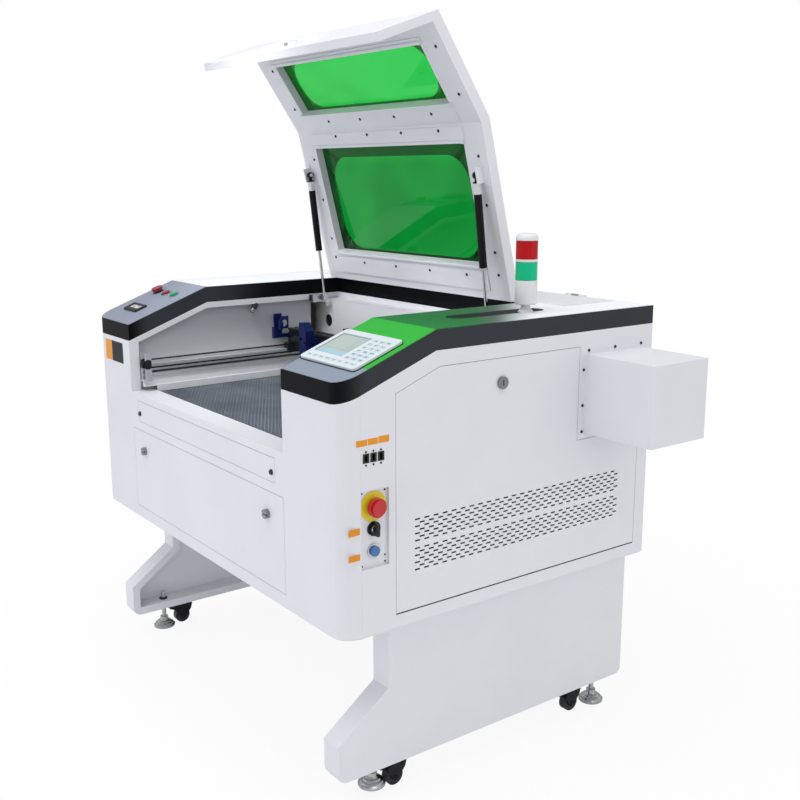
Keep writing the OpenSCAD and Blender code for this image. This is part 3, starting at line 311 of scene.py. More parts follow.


# Black powder coat of the sloping frame: satin black nose, with a lighter charcoal painted along the outer sides as
# painted light
def bandCoat():
    add, place, finish = startMaterial("powderCoatCharcoal", {"IOR": 1.5, "Specular IOR Level": 0.08})
    x, y = cabinetPlaces(add, place)[:2]
    slow = add("TexNoise", {"Vector": place, "Scale": 5.0, "Detail": 3.0})
    fine = add("TexNoise", {"Vector": place, "Scale": 800.0, "Detail": 2.0})
    right = add("Math", [band(add, x, (1096, 1106)), band(add, y, high=(884, 887))], "MULTIPLY")
    left = add("Math", [band(add, x, high=(226, 230)), band(add, y, high=(240, 420))], "MINIMUM")
    # painted light: the outer sides are painted a lighter charcoal
    outer = add("Math", [band(add, y, (4, 60)), add("Math", [right, left], "MAXIMUM")], "MULTIPLY")
    colour = layered(add, layered(add, "#08090A", (slow, "#0D0E10")),
                     (outer, layered(add, "#34373B", (slow, "#3D4045"))))
    finish(colour, [slow, 0, 1, 0.4, 0.5], [fine, 0.35, 0.08])


# Neoprene timing belt: matt rubber with a tooth every 10 mm, coarser than the real 5 mm so that it shows
def timingBelt():
    add, place, finish = startMaterial("neopreneBelt", {"IOR": 1.5, "Specular IOR Level": 0.15})
    teeth = add("TexWave", {"Vector": place, "Scale": 31.8}, out="Fac", wave_type="BANDS", bands_direction="Y")
    grain = add("TexNoise", {"Vector": place, "Scale": 1500.0})
    finish(layered(add, "#121213", (teeth, "#1D1D1F")), [grain, 0, 1, 0.55, 0.75], [teeth, 0.5, 0.6])


# Aluminium foil of the honeycomb, soiled grey by smoke in slow patches
def smokedFoil():
    add, place, finish = startMaterial("aluminiumFoil", {"Metallic": 0.85})
    patches = add("TexNoise", {"Vector": place, "Scale": 7.0, "Detail": 4.0})
    grain = add("TexNoise", {"Vector": place, "Scale": 400.0, "Detail": 2.0})
    fade = add("MapRange", [patches, 0.35, 0.7])
    finish(layered(add, "#D6DEE8", (fade, "#B4BCC6")), [grain, 0, 1, 0.3, 0.5], [grain, 0.3, 0.1])


film = {"leftEdge": (225, 226), "rightEdge": (950, 951), "frontEdge": (58, 60), "deepening": 200,
        "slantFrom": 965, "slant": 0.9, "cloudMm": 30, "toGrey": (500, 600), "toWhite": (560, 690),
        "strokeStart": (1067, 360), "strokeEnd": (1072, 562), "strokeRadius": (25, 27)}


# Printed polyester film over the deck sheet: grey slopes, green right deck fading to white, one dark stroke
def printedFilm():
    add, place, finish = startMaterial("printedFilm", {"IOR": 1.5, "Specular IOR Level": 0.04})
    x, y = cabinetPlaces(add, place)[:2]
    onSlope = band(add, y, high=(slopeRun - 1, slopeRun + 1))
    cloud = add("TexNoise", {"Vector": place, "Scale": 4.0, "Detail": 2.0})
    # the fade runs on a slant: it starts further forward at the outer edge
    slant = add("Math", [x, film["slantFrom"]], "SUBTRACT")
    slant = add("Math", [slant, film["slant"], y], "MULTIPLY_ADD")
    slant = add("Math", [cloud, film["cloudMm"], slant], "MULTIPLY_ADD")
    # dark stroke: a long round-ended shape under the tower light
    start, end, radii = film["strokeStart"], film["strokeEnd"], film["strokeRadius"]
    fromStart = add("Math", [y, start[1]], "SUBTRACT")
    lean = (end[0] - start[0]) / (end[1] - start[1])
    middle = add("Math", [fromStart, lean, start[0]], "MULTIPLY_ADD")
    radius = add("Math", [band(add, y, (start[1], end[1])), radii[1] - radii[0], radii[0]], "MULTIPLY_ADD")
    beyond = add("Math", [y, add("Clamp", [y, start[1], end[1]])], "SUBTRACT")
    aside = add("Math", [x, middle], "SUBTRACT")
    square = add("Math", [aside, aside, add("Math", [beyond, beyond], "MULTIPLY")], "MULTIPLY_ADD")
    outside = add("Math", [add("Math", [square, 0.5], "POWER"), radius], "SUBTRACT")

    deep = layered(add, "#2C7C42", (band(add, y, (slopeRun, slopeRun + film["deepening"])), "#256B38"))
    rightDeck = layered(add, deep, (onSlope, "#3BAE42"), (band(add, slant, film["toGrey"]), "#56655F"),
                        (band(add, slant, film["toWhite"]), "#ECEFF4"),
                        (band(add, y, high=film["frontEdge"]), "#8A94A2"),
                        (band(add, outside, high=(-1, 1)), "#0C0E10"))
    leftSlope = add("Math", [band(add, x, high=film["leftEdge"]), onSlope], "MULTIPLY")
    colour = layered(add, "#ECEEF2", (band(add, x, film["rightEdge"]), rightDeck), (leftSlope, "#8D94A3"))
    grain = add("TexNoise", {"Vector": place, "Scale": 1400.0})
    finish(colour, [cloud, 0, 1, 0.38, 0.5], [grain, 0.2, 0.04])


# Places on the keypad, in mm from its front left corner along the slope
keypad = {"corner": (967, 46), "height": 6.4, "window": ((12, 30), (110, 106)), "glass": ((15, 33), (107, 103)),
          "lowBar": ((15, 33), (107, 45)), "shown": ((16, 46), (106, 102)), "wordColumn": (86, 105),
          "ruledAcross": 84, "ruledDown": 52, "linePitch": 8, "blueRows": (24, 50),
          "topRow": {"first": (12, 10), "pitch": (21.5, 60), "size": (15, 7), "area": ((10, 9), (180, 18))},
          "grid": {"first": (122, 26), "pitch": (21, 14), "size": (15, 8), "area": ((120, 25), (182, 106))}}


# Membrane keypad: embossed polyester over a white base, pale keys with small printed marks, a display window
def membranePanel():
    add, place, finish = startMaterial("membraneKeypad", {"IOR": 1.5, "Specular IOR Level": 0.4})
    x, y = cabinetPlaces(add, place)[:2]
    along = add("Math", [y, keypad["height"] * math.sin(slopeAngle)], "ADD")
    along = add("Math", [along, 1 / math.cos(slopeAngle)], "MULTIPLY")
    u, v = (add("Math", [value, keypad["corner"][i]], "SUBTRACT") for i, value in enumerate((x, along)))

    # a field of keys, as the masks of the keys and of the marks on them
    def keyGrid(grid):
        inKey = []
        for i, value in enumerate((u, v)):
            offset = add("Math", [value, grid["first"][i]], "SUBTRACT")
            inKey.append(add("Math", [offset, grid["pitch"][i], 0.0], "WRAP"))
        area = insideBox(add, u, v, *grid["area"], 0.2)
        masks = []
        for inset in ((0.4, 0.4), (2.5, 1.8)):
            shape = insideBox(add, *inKey, inset, [grid["size"][i] - inset[i] for i in (0, 1)], 0.4)
            masks.append(add("Math", [shape, area], "MULTIPLY"))
        return masks

    (rowKeys, rowMarks), (gridKeys, gridMarks) = keyGrid(keypad["topRow"]), keyGrid(keypad["grid"])
    specks = add("TexNoise", {"Vector": place, "Scale": 520.0, "Detail": 1.0})
    printed = add("Math", [rowMarks, gridMarks], "MAXIMUM")
    printed = add("Math", [printed, band(add, specks, (0.48, 0.54))], "MULTIPLY")
    blueRows = [(edge - 0.5, edge + 0.5) for edge in keypad["blueRows"]]
    blueKeys = add("Math", [gridKeys, band(add, v, *blueRows)], "MULTIPLY")
    glass = insideBox(add, u, v, *keypad["glass"])
    # the display shows two ruled lines and a column of plain specks
    ruled = [band(add, value, (at - 0.2, at + 0.2), (at + 0.6, at + 1.0))
             for value, at in ((u, keypad["ruledAcross"]), (v, keypad["ruledDown"]))]
    line = add("Math", [v, keypad["linePitch"], 0.0], "WRAP")
    words = insideBox(add, u, line, (keypad["wordColumn"][0], 1.5), (keypad["wordColumn"][1], 5), 0.4)
    words = add("Math", [band(add, specks, (0.5, 0.56)), words], "MULTIPLY")
    shown = add("Math", [add("Math", ruled, "MAXIMUM"), words], "MAXIMUM")
    shown = add("Math", [shown, insideBox(add, u, v, *keypad["shown"])], "MULTIPLY")
    faint = add("Math", [shown, 0.55], "MULTIPLY")
    colour = layered(add, "#D3DCE1", (add("Math", [rowKeys, gridKeys], "MAXIMUM"), "#C6D2D9"),
                     (blueKeys, "#B4C9D8"), (printed, "#46525C"),
                     (insideBox(add, u, v, *keypad["window"]), "#7E898C"), (glass, "#AEBDB8"),
                     (insideBox(add, u, v, *keypad["lowBar"]), "#9CC6D6"), (faint, "#5E6C70"))
    grain = add("TexNoise", {"Vector": place, "Scale": 1400.0})
    height = add("Math", [grain, add("Math", [1.0, glass], "SUBTRACT")], "MULTIPLY")
    finish(colour, layered(add, "#A0A0A0", (glass, "#303030")), [height, 0.2, 0.04])


switchBezels = {"trayDepth": 7, "raised": (0.7, 0.9), "stopRing": 30.3, "ring": 15}


# Switch plate: the same white powder coat as the cabinet; bezels chromed, black, or yellow round the stop button
def switchPlate():
    add, place, finish = startMaterial("switchPlate", {"IOR": 1.5})
    inMm = add("VectorMath", [place, (1000, 1000, 1000)], "MULTIPLY")
    x, y, z = add("SeparateXYZ", [inMm]).node.outputs
    trayFace = shellHigh.x * 1000 - switchBezels["trayDepth"]
    raised = band(add, x, [trayFace + step for step in switchBezels["raised"]])

    def bezel(name, radius):
        disc = insideDisc(add, y, z, centreOf(name)[1:], radius)
        return add("Math", [raised, disc], "MULTIPLY")

    onDeck = band(add, x, high=(0, 10))
    half = (centreOf("deck_stop").x + centreOf("deck_red_button").x) / 2
    blackDeck = add("Math", [onDeck, band(add, x, high=(half - 1, half + 1))], "MULTIPLY")
    chromeDeck = add("Math", [onDeck, blackDeck], "SUBTRACT")
    black = add("Math", [bezel("key_switch", switchBezels["ring"]), blackDeck], "MAXIMUM")
    chrome = add("Math", [bezel("power_button", switchBezels["ring"]), chromeDeck], "MAXIMUM")
    fine = add("TexNoise", {"Vector": place, "Scale": 667.0, "Detail": 2.0})
    slow = add("TexNoise", {"Vector": place, "Scale": 12.0, "Detail": 3.0})
    colour = layered(add, "#E4E5EA", (slow, "#DFE0E5"),
                     (bezel("emergency_stop", switchBezels["stopRing"]), "#E8CF2E"), (black, "#111214"),
                     (chrome, "#C6C9CE"))
    finish(colour, layered(add, "#606060", (chrome, "#2A2A2A")), [fine, 0.3, 0.05], Metallic=chrome)


membranePanel()
switchPlate()
castAcrylic()
ribbedLens("polycarbonateRed", "#C60008")
ribbedLens("polycarbonateGreen", "#00CC8E")
for makeFinish in (drawnGlass, railFinish, linerCoat, bandCoat, timingBelt, smokedFoil, printedFilm):
    makeFinish()
print("materials made:", len(materials))

# Finishes of the CAD nodes
finishes = {
    "powderCoatWhite": ["cabinet_shell", "rear_panel", "leg_frames", "tube_end_box", "lid_shell", "front_flap",
                        "front_door", "side_door", "tube_hatch"],
    "switchPlate": ["switch_panel"],
    "powderCoatCharcoal": ["top_frame"],
    "printedFilm": ["top_cover"],
    "powderCoatLiner": ["chamber_liner"],
    "powderCoatFrameLit": ["lid_frame"],
    "castAcrylicGreen": ["lid_windows"],
    "borosilicateGlass": ["laser_tube"],
    "mouldedAbsBlack": ["tube_mounts", "sockets", "key_switch"],
    "mouldedAbsGrey": ["electronics_modules"],
    "anodisedRail": ["y_axis_rails"],
    "neopreneBelt": ["y_belts"],
    "membraneKeypad": ["control_panel"],
    "groundSteel": ["lid_fittings", "drive_shaft", *("lift_screw_" + corner for corner in corners)],
    "stoveEnamelBlack": ["strut_cylinder_left", "strut_cylinder_right"],
    "chromePlate": ["strut_rod_left", "strut_rod_right"],
    "darkChrome": ["front_lock_left", "front_lock_right", "side_lock"],
    "anodisedBlack": ["gantry_beam", "bed_frame"],
    "anodisedBlue": ["gantry_mirror", "laser_head"],
    "turnedBrass": ["nozzle"],
    "mouldedAbsRed": ["emergency_stop"],
    "mouldedAbsCrimson": ["deck_stop", "deck_red_button"],
    "mouldedAbsBlue": ["power_button"],
    "mouldedAbsGreen": ["deck_green_button"],
    "aluminiumFoil": ["honeycomb"],
    "zincPlate": ["foot_" + corner for corner in corners],
    "powderCoatBlack": ["caster_fork_" + corner for corner in corners],
    "castNylonBlack": ["caster_wheel_" + corner for corner in corners],
}
for finishName, names in finishes.items():
    for name in names:
        nodes[name].data.materials.clear()
        nodes[name].data.materials.append(materials[finishName])


def addObject(name, data):
    made = bpy.data.objects.new(name, data)
    scene.collection.objects.link(made)
    return made


smoothing = {"sharpFrom": math.radians(35), "bevelFrom": math.radians(40), "bevelSteps": 2}


# Puts a mesh in its place, smooths all but its sharp edges, gives it its finishes and lets it ride on its body
def finishPiece(name, bm, finishNames, matrix=cabinetMatrix, body="cabinet", bevelMm=0):
    bm.transform(matrix)
    bmesh.ops.recalc_face_normals(bm, faces=bm.faces)
    for face in bm.faces:
        face.smooth = True
    for edge in bm.edges:
        if len(edge.link_faces) == 2 and edge.calc_face_angle() > smoothing["sharpFrom"]:
            edge.smooth = False
    mesh = bpy.data.meshes.new(name)
    bm.to_mesh(mesh)
    bm.free()
    for finishName in finishNames:
        mesh.materials.append(materials[finishName])
    piece = addObject(name, mesh)
    if bevelMm:
        bevel = piece.modifiers.new("roundedEdges", "BEVEL")
        bevel.width = bevelMm / 1000
        bevel.segments = smoothing["bevelSteps"]
        bevel.limit_method = "ANGLE"
        bevel.angle_limit = smoothing["bevelFrom"]
        bevel.use_clamp_overlap = True
    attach(piece, body)
    return piece


def addBox(bm, low, high, slot=0):
    low, high = Vector(low), Vector(high)
    made = bmesh.ops.create_cube(bm, size=1)["verts"]
    for vert in made:
        vert.co = Vector(((low[i] + high[i]) / 2 + vert.co[i] * (high[i] - low[i]) for i in range(3)))
    for face in {face for vert in made for face in vert.link_faces}:
        face.material_index = slot
    return made


# Flat box on the cabinet's right side, over a span of (y, z) corners above the cabinet floor
def addSideStrip(bm, span, sunk, proud):
    (y0, z0), (y1, z1) = span
    addBox(bm, (cabinetWidth - sunk, y0, cabinetFloor + z0), (cabinetWidth + proud, y1, cabinetFloor + z1))


# Closed rings of the same number of points, joined by a wall
def joinRings(bm, *rings):
    for lower, upper in zip(rings, rings[1:]):
        for k in range(len(lower)):
            n = (k + 1) % len(lower)
            bm.faces.new((lower[k], lower[n], upper[n], upper[k]))


# Turned shape: profile is a list of (radius, height); a radius of nothing is a point on the axis
def addTurned(bm, profile, centre, axis, segments=24, slot=0):
    turn = Vector((0, 0, 1)).rotation_difference(Vector(axis)).to_matrix()
    angles = [2 * math.pi * i / segments for i in range(segments)]
    rings = []
    for radius, height in profile:
        offsets = [(radius * math.cos(a), radius * math.sin(a), height) for a in angles]
        if not radius:
            offsets = [(0, 0, height)]
        rings.append([bm.verts.new(Vector(centre) + turn @ Vector(offset)) for offset in offsets])
    for lower, upper in zip(rings, rings[1:]):
        for i in range(segments):
            k = (i + 1) % segments
            ring = [lower[i % len(lower)], lower[k % len(lower)], upper[k % len(upper)], upper[i % len(upper)]]
            distinct = list(dict.fromkeys(ring))
            if len(distinct) > 2:
                bm.faces.new(distinct).material_index = slot


# Turned pieces of one finish, the same at each place
def finishTurned(name, finishName, shape, places, axis, **riding):
    bm = bmesh.new()
    for place in places:
        addTurned(bm, shape["profile"], place, axis, shape["segments"])
    return finishPiece(name, bm, [finishName], **riding)


# Pan head screw with a cross recess, its head standing on the surface
def addScrew(bm, centre, axis, radius, slot=0, segments=14):
    height = radius * 0.55
    addTurned(bm, [(0, 0), (radius, 0), (radius * 0.98, height * 0.35), (radius * 0.8, height * 0.8),
                   (radius * 0.45, height), (radius * 0.32, height * 0.55), (0, height * 0.45)],
              centre, axis, segments, slot)


# Screws of the lid frame, with the depth of the frame's face below the deck, then those on the right side
lidScrews = {
    "radius": 3.7,
    "bars": {"flat": [(x, 237) for x in (396, 536, 676, 816)] + [(x, 572) for x in (405, 545, 685, 825)],
             "slope": [(x, 200) for x in (395, 535, 675, 815)], "depth": 28},
    "sides": {"flat": [(x, y) for x in (264, 935) for y in (566, 513, 405, 296)],
              "slope": [(x, s) for x in (264, 935) for s in (160, 48)], "depth": 25},
}
sideScrews = {
    "tubeBoxScrews": [{"out": 1.5, "radius": 3.6, "places": [
        (634, 499), (716, 499), (800, 499), (620, 458), (620, 380), (620, 322), (804, 440), (804, 360), (700, 313)]}],
    "sideScrews": [{"out": 0, "radius": 2.2, "places": [(y, z) for z in (367.5, 341.5) for y in (54, 71, 88)]},
                   {"out": -7, "radius": 2.0, "places": [(48, 143), (101, 143), (48, 286), (101, 286), (101, 156)]}],
}
for part, level, matrix in (("flat", topLevel, lidMatrix), ("slope", 0, lidSlopeMatrix)):
    bm = bmesh.new()
    for group in (lidScrews["bars"], lidScrews["sides"]):
        for x, y in group[part]:
            addScrew(bm, (x, y, level - group["depth"]), (0, 0, -1), lidScrews["radius"])
    finishPiece("lidScrews" + part.title(), bm, ["phosphatedSteel"], matrix, "lid")
for name, groups in sideScrews.items():
    bm = bmesh.new()
    for group in groups:
        for y, z in group["places"]:
            addScrew(bm, (cabinetWidth + group["out"], y, cabinetFloor + z), (1, 0, 0), group["radius"])
    finishPiece(name, bm, ["phosphatedSteel"])
print("screws placed")

# Plain orange films beside the sockets and switches
sideFilms = {"places": (((33, 379), (57, 391)), ((58.5, 379.5), (81, 391.5)), ((82.5, 380), (107, 393)),
                        ((13, 210), (39, 223)), ((13, 160), (39, 172))), "sunk": 0.1, "proud": 0.3}
bm = bmesh.new()
for span in sideFilms["places"]:
    addSideStrip(bm, span, sideFilms["sunk"], sideFilms["proud"])
finishPiece("orangeFilms", bm, ["vinylOrange"])

# Corner film on the front: a plain orange strip beside a plain black field
cornerFilm = {"strips": ((52, 93), (95, 167)), "levels": (781, 834), "proud": 0.3, "sunk": 0.1}
bm = bmesh.new()
for slot, (x0, x1) in enumerate(cornerFilm["strips"]):
    addBox(bm, (x0, -cornerFilm["proud"], cornerFilm["levels"][0]),
           (x1, cornerFilm["sunk"], cornerFilm["levels"][1]), slot)
finishPiece("cornerFilm", bm, ["vinylOrange", "vinylBlack"])

# Panel meter on the left slope
meter = {"low": (62, 55), "high": (136, 91), "rim": 5.5, "height": 6.0, "chamfer": 1.5, "face": 2.5,
         "marks": 11, "markTurn": 9.6, "markReach": 21.5, "needleReach": 19, "needleTurn": 38}


def makeMeter():
    (x0, s0), (x1, s1) = meter["low"], meter["high"]
    rim, height, chamfer, face = meter["rim"], meter["height"], meter["chamfer"], meter["face"]
    pivot = Vector(((x0 + x1) / 2, s0 + rim + 3, 0))
    bm = bmesh.new()

    def inset(by, z):
        return [bm.verts.new((x, y, z)) for x, y in (
            (x0 + by, s0 + by), (x1 - by, s0 + by), (x1 - by, s1 - by), (x0 + by, s1 - by))]

    def turned(verts, degrees):
        for vert in verts:
            vert.co = Matrix.Rotation(math.radians(degrees), 3, "Z") @ vert.co + pivot

    rings = [inset(0, -0.5), inset(0, height - chamfer), inset(chamfer, height), inset(rim, height - 0.5),
             inset(rim, face)]
    joinRings(bm, *rings)
    bm.faces.new(list(reversed(rings[0])))
    bm.faces.new(rings[-1]).material_index = 1
    addBox(bm, (x0 + rim, s0 + rim, 2), (x1 - rim, s0 + rim + 7, 4.6))
    for k in range(meter["marks"]):
        long = 3.4 if k % 5 == 0 else 2.0
        turned(addBox(bm, (-0.35, meter["markReach"] - long, face), (0.35, meter["markReach"], 2.8)),
               meter["markTurn"] * ((meter["marks"] - 1) / 2 - k))
    turned(addBox(bm, (-0.4, 0, 3.4), (0.4, meter["needleReach"], 3.8), 2), meter["needleTurn"])
    finishPiece("panelMeter", bm, ["mouldedAbsBlack", "meterFace", "mouldedAbsRed"], slopeMatrix)


makeMeter()

# Dark rubber seat under the control panel, with rounded corners: its rim showing round the panel is painted shade of
# the panel's edge
panelShadeSeat = {"low": (965.6, 44.6), "high": (1158.4, 169.4), "radius": 10, "thickness": 1.6, "cornerSteps": 6}


def makePanelShadeSeat():
    (x0, y0), (x1, y1), radius = panelShadeSeat["low"], panelShadeSeat["high"], panelShadeSeat["radius"]
    points = []
    for cornerX, cornerY, first in ((x1, y1, 0), (x0, y1, 90), (x0, y0, 180), (x1, y0, 270)):
        signX, signY = (1 if cornerX == x1 else -1), (1 if cornerY == y1 else -1)
        for k in range(panelShadeSeat["cornerSteps"] + 1):
            turn = math.radians(first + 90 / panelShadeSeat["cornerSteps"] * k)
            points.append((cornerX - signX * radius + radius * math.cos(turn),
                           cornerY - signY * radius + radius * math.sin(turn)))
    bm = bmesh.new()
    low, high = ([bm.verts.new((x, y, z)) for x, y in points] for z in (0, panelShadeSeat["thickness"]))
    joinRings(bm, low, high)
    bm.faces.new(high)
    finishPiece("panelShadeSeat", bm, ["nitrileRubber"], slopeMatrix)


makePanelShadeSeat()

# Work lamp on the left wall of the chamber: a tube in a bracket, with a chromed ring and a lens
workLamp = {"front": (216, 350, 894), "back": (204, 368, 913), "wallX": 196.3, "plate": 1.5, "segments": 28,
            "screwRadius": 2.2}


def makeWorkLamp():
    front, back = Vector(workLamp["front"]), Vector(workLamp["back"])
    length = (front - back).length
    wall = workLamp["wallX"]
    plateFace = wall + workLamp["plate"]
    profiles = (
        [(0, -4), (4.5, -4), (6.6, 0), (7.4, 3), (7.4, length - 4), (0, length - 4)],
        [(0, length - 4.5), (8.2, length - 4.5), (8.4, length - 3.5), (8.4, length), (6.2, length + 0.6),
         (5.8, length - 1.4), (0, length - 1.4)],
        [(0, length - 1.3), (5.8, length - 1.3), (5.0, length - 0.5), (3.0, length + 0.1), (0, length + 0.3)])
    bm = bmesh.new()
    for slot, profile in enumerate(profiles):
        addTurned(bm, profile, back, (front - back).normalized(), workLamp["segments"], slot)
    addBox(bm, (wall, back.y - 8, back.z - 9), (plateFace, back.y + 8, back.z + 12))
    addBox(bm, (wall, back.y - 5, back.z - 1), (back.x, back.y + 5, back.z + 3))
    for offset in (4, -4):
        addScrew(bm, (plateFace, back.y + offset, back.z + 8), (1, 0, 0), workLamp["screwRadius"], 1)
    finishPiece("workLamp", bm, ["mouldedAbsBlack", "chromePlate", "displayGlass"])


makeWorkLamp()

# Paper labels round the gas struts, without lettering
strutLabel = {"profile": [(8.6, 17), (9.2, 17.2), (9.2, 41), (8.6, 41.2)], "segments": 36}
for side in ("left", "right"):
    stud = Vector(joints["strut_pivot_" + side]["pos_m"])
    axis = Vector(joints["strut_rod_slide_" + side]["axis"]).normalized()
    bm = bmesh.new()
    addTurned(bm, strutLabel["profile"], (0, 0, 0), axis, strutLabel["segments"])
    bm.transform(Matrix.Translation(stud * 1000))
    finishPiece("strutLabel" + side.title(), bm, ["paperLabelWhite"], inMetres, "strut_cylinder_" + side)

# Finger knobs of the front flap
flapKnobs = {"fromSide": 258, "level": 279, "segments": 24,
             "profile": [(0, -0.5), (6.2, -0.5), (6.2, 0.8), (5.2, 1.4), (5.2, 3.2), (4.4, 4), (0, 3.6)]}
places = [(x, 0, cabinetFloor + flapKnobs["level"])
          for x in (flapKnobs["fromSide"], cabinetWidth - flapKnobs["fromSide"])]
finishTurned("flapKnobs", "phosphatedSteel", flapKnobs, places, (0, -1, 0), body="front_flap")

# Bow handle on the lid's front panel
lidHandle = {"middle": 566, "down": 110, "length": 76, "rise": 11, "width": 11, "bevelMm": 1.2}


def makeLidHandle():
    half, rise, wide = lidHandle["length"] / 2, lidHandle["rise"], lidHandle["width"] / 2
    over = [(-half, 0.4), (-half + 2, -rise * 0.55), (-half + 9, -rise), (half - 9, -rise),
            (half - 2, -rise * 0.55), (half, 0.4)]
    under = [(half - 7, 0.4), (half - 8.5, -rise * 0.4), (half - 13, -rise + 4), (-half + 13, -rise + 4),
             (-half + 8.5, -rise * 0.4), (-half + 7, 0.4)]
    bm = bmesh.new()
    rings = [[bm.verts.new((lidHandle["middle"] + x, lidHandle["down"] + offset, z)) for x, z in over + under]
             for offset in (-wide, wide)]
    for ring, flip in zip(rings, (False, True)):
        for k in range(len(over) - 1):
            quad = [ring[k], ring[k + 1], ring[-2 - k], ring[-1 - k]]
            bm.faces.new(quad if flip else list(reversed(quad)))
    joinRings(bm, *rings)
    finishPiece("lidHandle", bm, ["mouldedAbsWhite"], frontPanelMatrix, "lid", lidHandle["bevelMm"])


makeLidHandle()

# Grommets where the foot stems pass the leg plate
grommets = {"fromSide": 75, "depths": (113, 766), "segments": 28,
            "profile": [(6.6, 81.4), (11, 81.4), (11.6, 82.6), (11, 84.4), (7.4, 85), (6.6, 84.4), (6.6, 81.4)]}
places = [(x, y, 0) for x in (grommets["fromSide"], cabinetWidth - grommets["fromSide"])
          for y in grommets["depths"]]
finishTurned("stemGrommets", "nitrileRubber", grommets, places, (0, 0, 1))

# Dark strips sunk in the gaps round the doors, painted shade of the gaps, and a dark strip under the side door,
# painted shade of its bottom gap, which stands a little proud
gapShade = {"front": [((213, 235.35), (963, 235.75)), ((245, 310.35), (931, 310.75)), ((213, 29.2), (963, 29.6)),
                    ((244.2, 259), (244.6, 310.7))],
          "side": [((229, 508.3), (608, 508.75)), ((608.3, 304), (608.75, 508.7)), ((804.3, 31), (804.75, 304.7)),
                   ((608, 304.3), (804, 304.75))],
          "depths": (0.35, 1.4), "sill": ((123, 28.4), (804, 30.6)), "sillSunk": 0.6, "sillProud": 0.2}
outer, inner = gapShade["depths"]
bm = bmesh.new()
for (x0, z0), (x1, z1) in gapShade["front"]:
    addBox(bm, (x0, outer, cabinetFloor + z0), (x1, inner, cabinetFloor + z1))
for span in gapShade["side"]:
    addSideStrip(bm, span, inner, -outer)
finishPiece("doorGapShade", bm, ["nitrileRubber"])
# painted shade: a dark strip for the shade of the side door's bottom gap
bm = bmesh.new()
addSideStrip(bm, gapShade["sill"], gapShade["sillSunk"], gapShade["sillProud"])
finishPiece("doorSillShade", bm, ["nitrileRubber"])

# Side door: the frame's folded sheet, with its slots in two bands that stand apart; half is half a slot's height
slotRows = {"made": {"first": (113, 166), "step": 8.2, "half": 1.3},
            "wanted": {"first": (110.8, 170.2), "step": 7.26, "half": 1.75},
            "count": 7, "along": (160, 752), "tolerance": 0.2}


def slotHeight(z):
    made, wanted = slotRows["made"], slotRows["wanted"]
    for number, first in enumerate(made["first"]):
        for row in range(slotRows["count"]):
            offset = z - (first + made["step"] * row)
            if abs(abs(offset) - made["half"]) < slotRows["tolerance"]:
                return wanted["first"][number] + wanted["step"] * row + math.copysign(wanted["half"], offset)
    return z


def makeSideDoor():
    start, end = slotRows["along"]
    bm = bmesh.new()
    bm.from_mesh(nodes["side_door"].data)
    bm.transform(nodes["side_door"].matrix_world)
    for vert in bm.verts:
        if start < (vert.co.y - shellLow.y) * 1000 < end:
            vert.co.z = (slotHeight(vert.co.z * 1000 - cabinetFloor) + cabinetFloor) / 1000
    door = finishPiece("ventedSideDoor", bm, ["powderCoatWhite"], Matrix.Identity(4), "side_door")
    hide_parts("side_door")


makeSideDoor()

# Caster hub caps, with their reach past the wheel's side, and the lock ring of the key switch
hubCap = [(0, -0.2), (7.2, -0.2), (7.0, 0.25), (2.4, 0.3), (0, 0)]
keyRing = {"profile": [(6.2, 0), (9.2, 0), (9.0, 1.1), (6.6, 1.3), (6.2, 0.6), (6.2, 0)], "proud": 1, "segments": 32}
for corner in corners:
    middle = centreOf("caster_wheel_" + corner)
    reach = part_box("caster_wheel_" + corner)[1].x * 1000 - middle.x
    bm = bmesh.new()
    for side in (-1, 1):
        addTurned(bm, [(radius, reach + past) for radius, past in hubCap], middle, (side, 0, 0))
    finishPiece("hubCaps_" + corner, bm, ["castNylonCream"], inMetres, "caster_wheel_" + corner)
keyMiddle = centreOf("key_switch")
keyMiddle = (cabinetWidth + keyRing["proud"], keyMiddle.y - shellLow.y * 1000, keyMiddle.z)
finishTurned("keyRing", "chromePlate", keyRing, [keyMiddle], (1, 0, 0), body="key_switch")
print("small parts made")

# Folded sheet that closes the gutter between the tub's rear wall and the rear rim
gutter = {"ends": (226.6, 945.4), "run": (587.6, 630.8), "level": 526.2, "thickness": 1.5, "lip": 7}


def makeGutterSheet():
    (y0, y1), z, thick = gutter["run"], cabinetFloor + gutter["level"], gutter["thickness"]
    profile = [(y0, z - thick), (y0, z), (y1 - thick, z), (y1 - thick, z + gutter["lip"]), (y1, z + gutter["lip"]),
               (y1, z - thick)]
    bm = bmesh.new()
    rings = [[bm.verts.new((x, y, level)) for y, level in profile] for x in gutter["ends"]]
    joinRings(bm, *rings)
    for ring in rings:
        bm.faces.new(ring)
    finishPiece("gutterSheet", bm, ["powderCoatLiner"])


makeGutterSheet()

# Cable carrier lying along the gantry beam, from the laser head towards the beam's end
carrier = {"pitch": 11, "height": 10, "depth": 12, "gap": 1.2, "wall": 1.6, "panelInset": 2.5, "panelProud": 0.3,
           "bar": (2, 6.5), "barThickness": 1.2, "fromHead": 8, "fromEnd": 60, "fromBack": 3, "lift": 0.2}


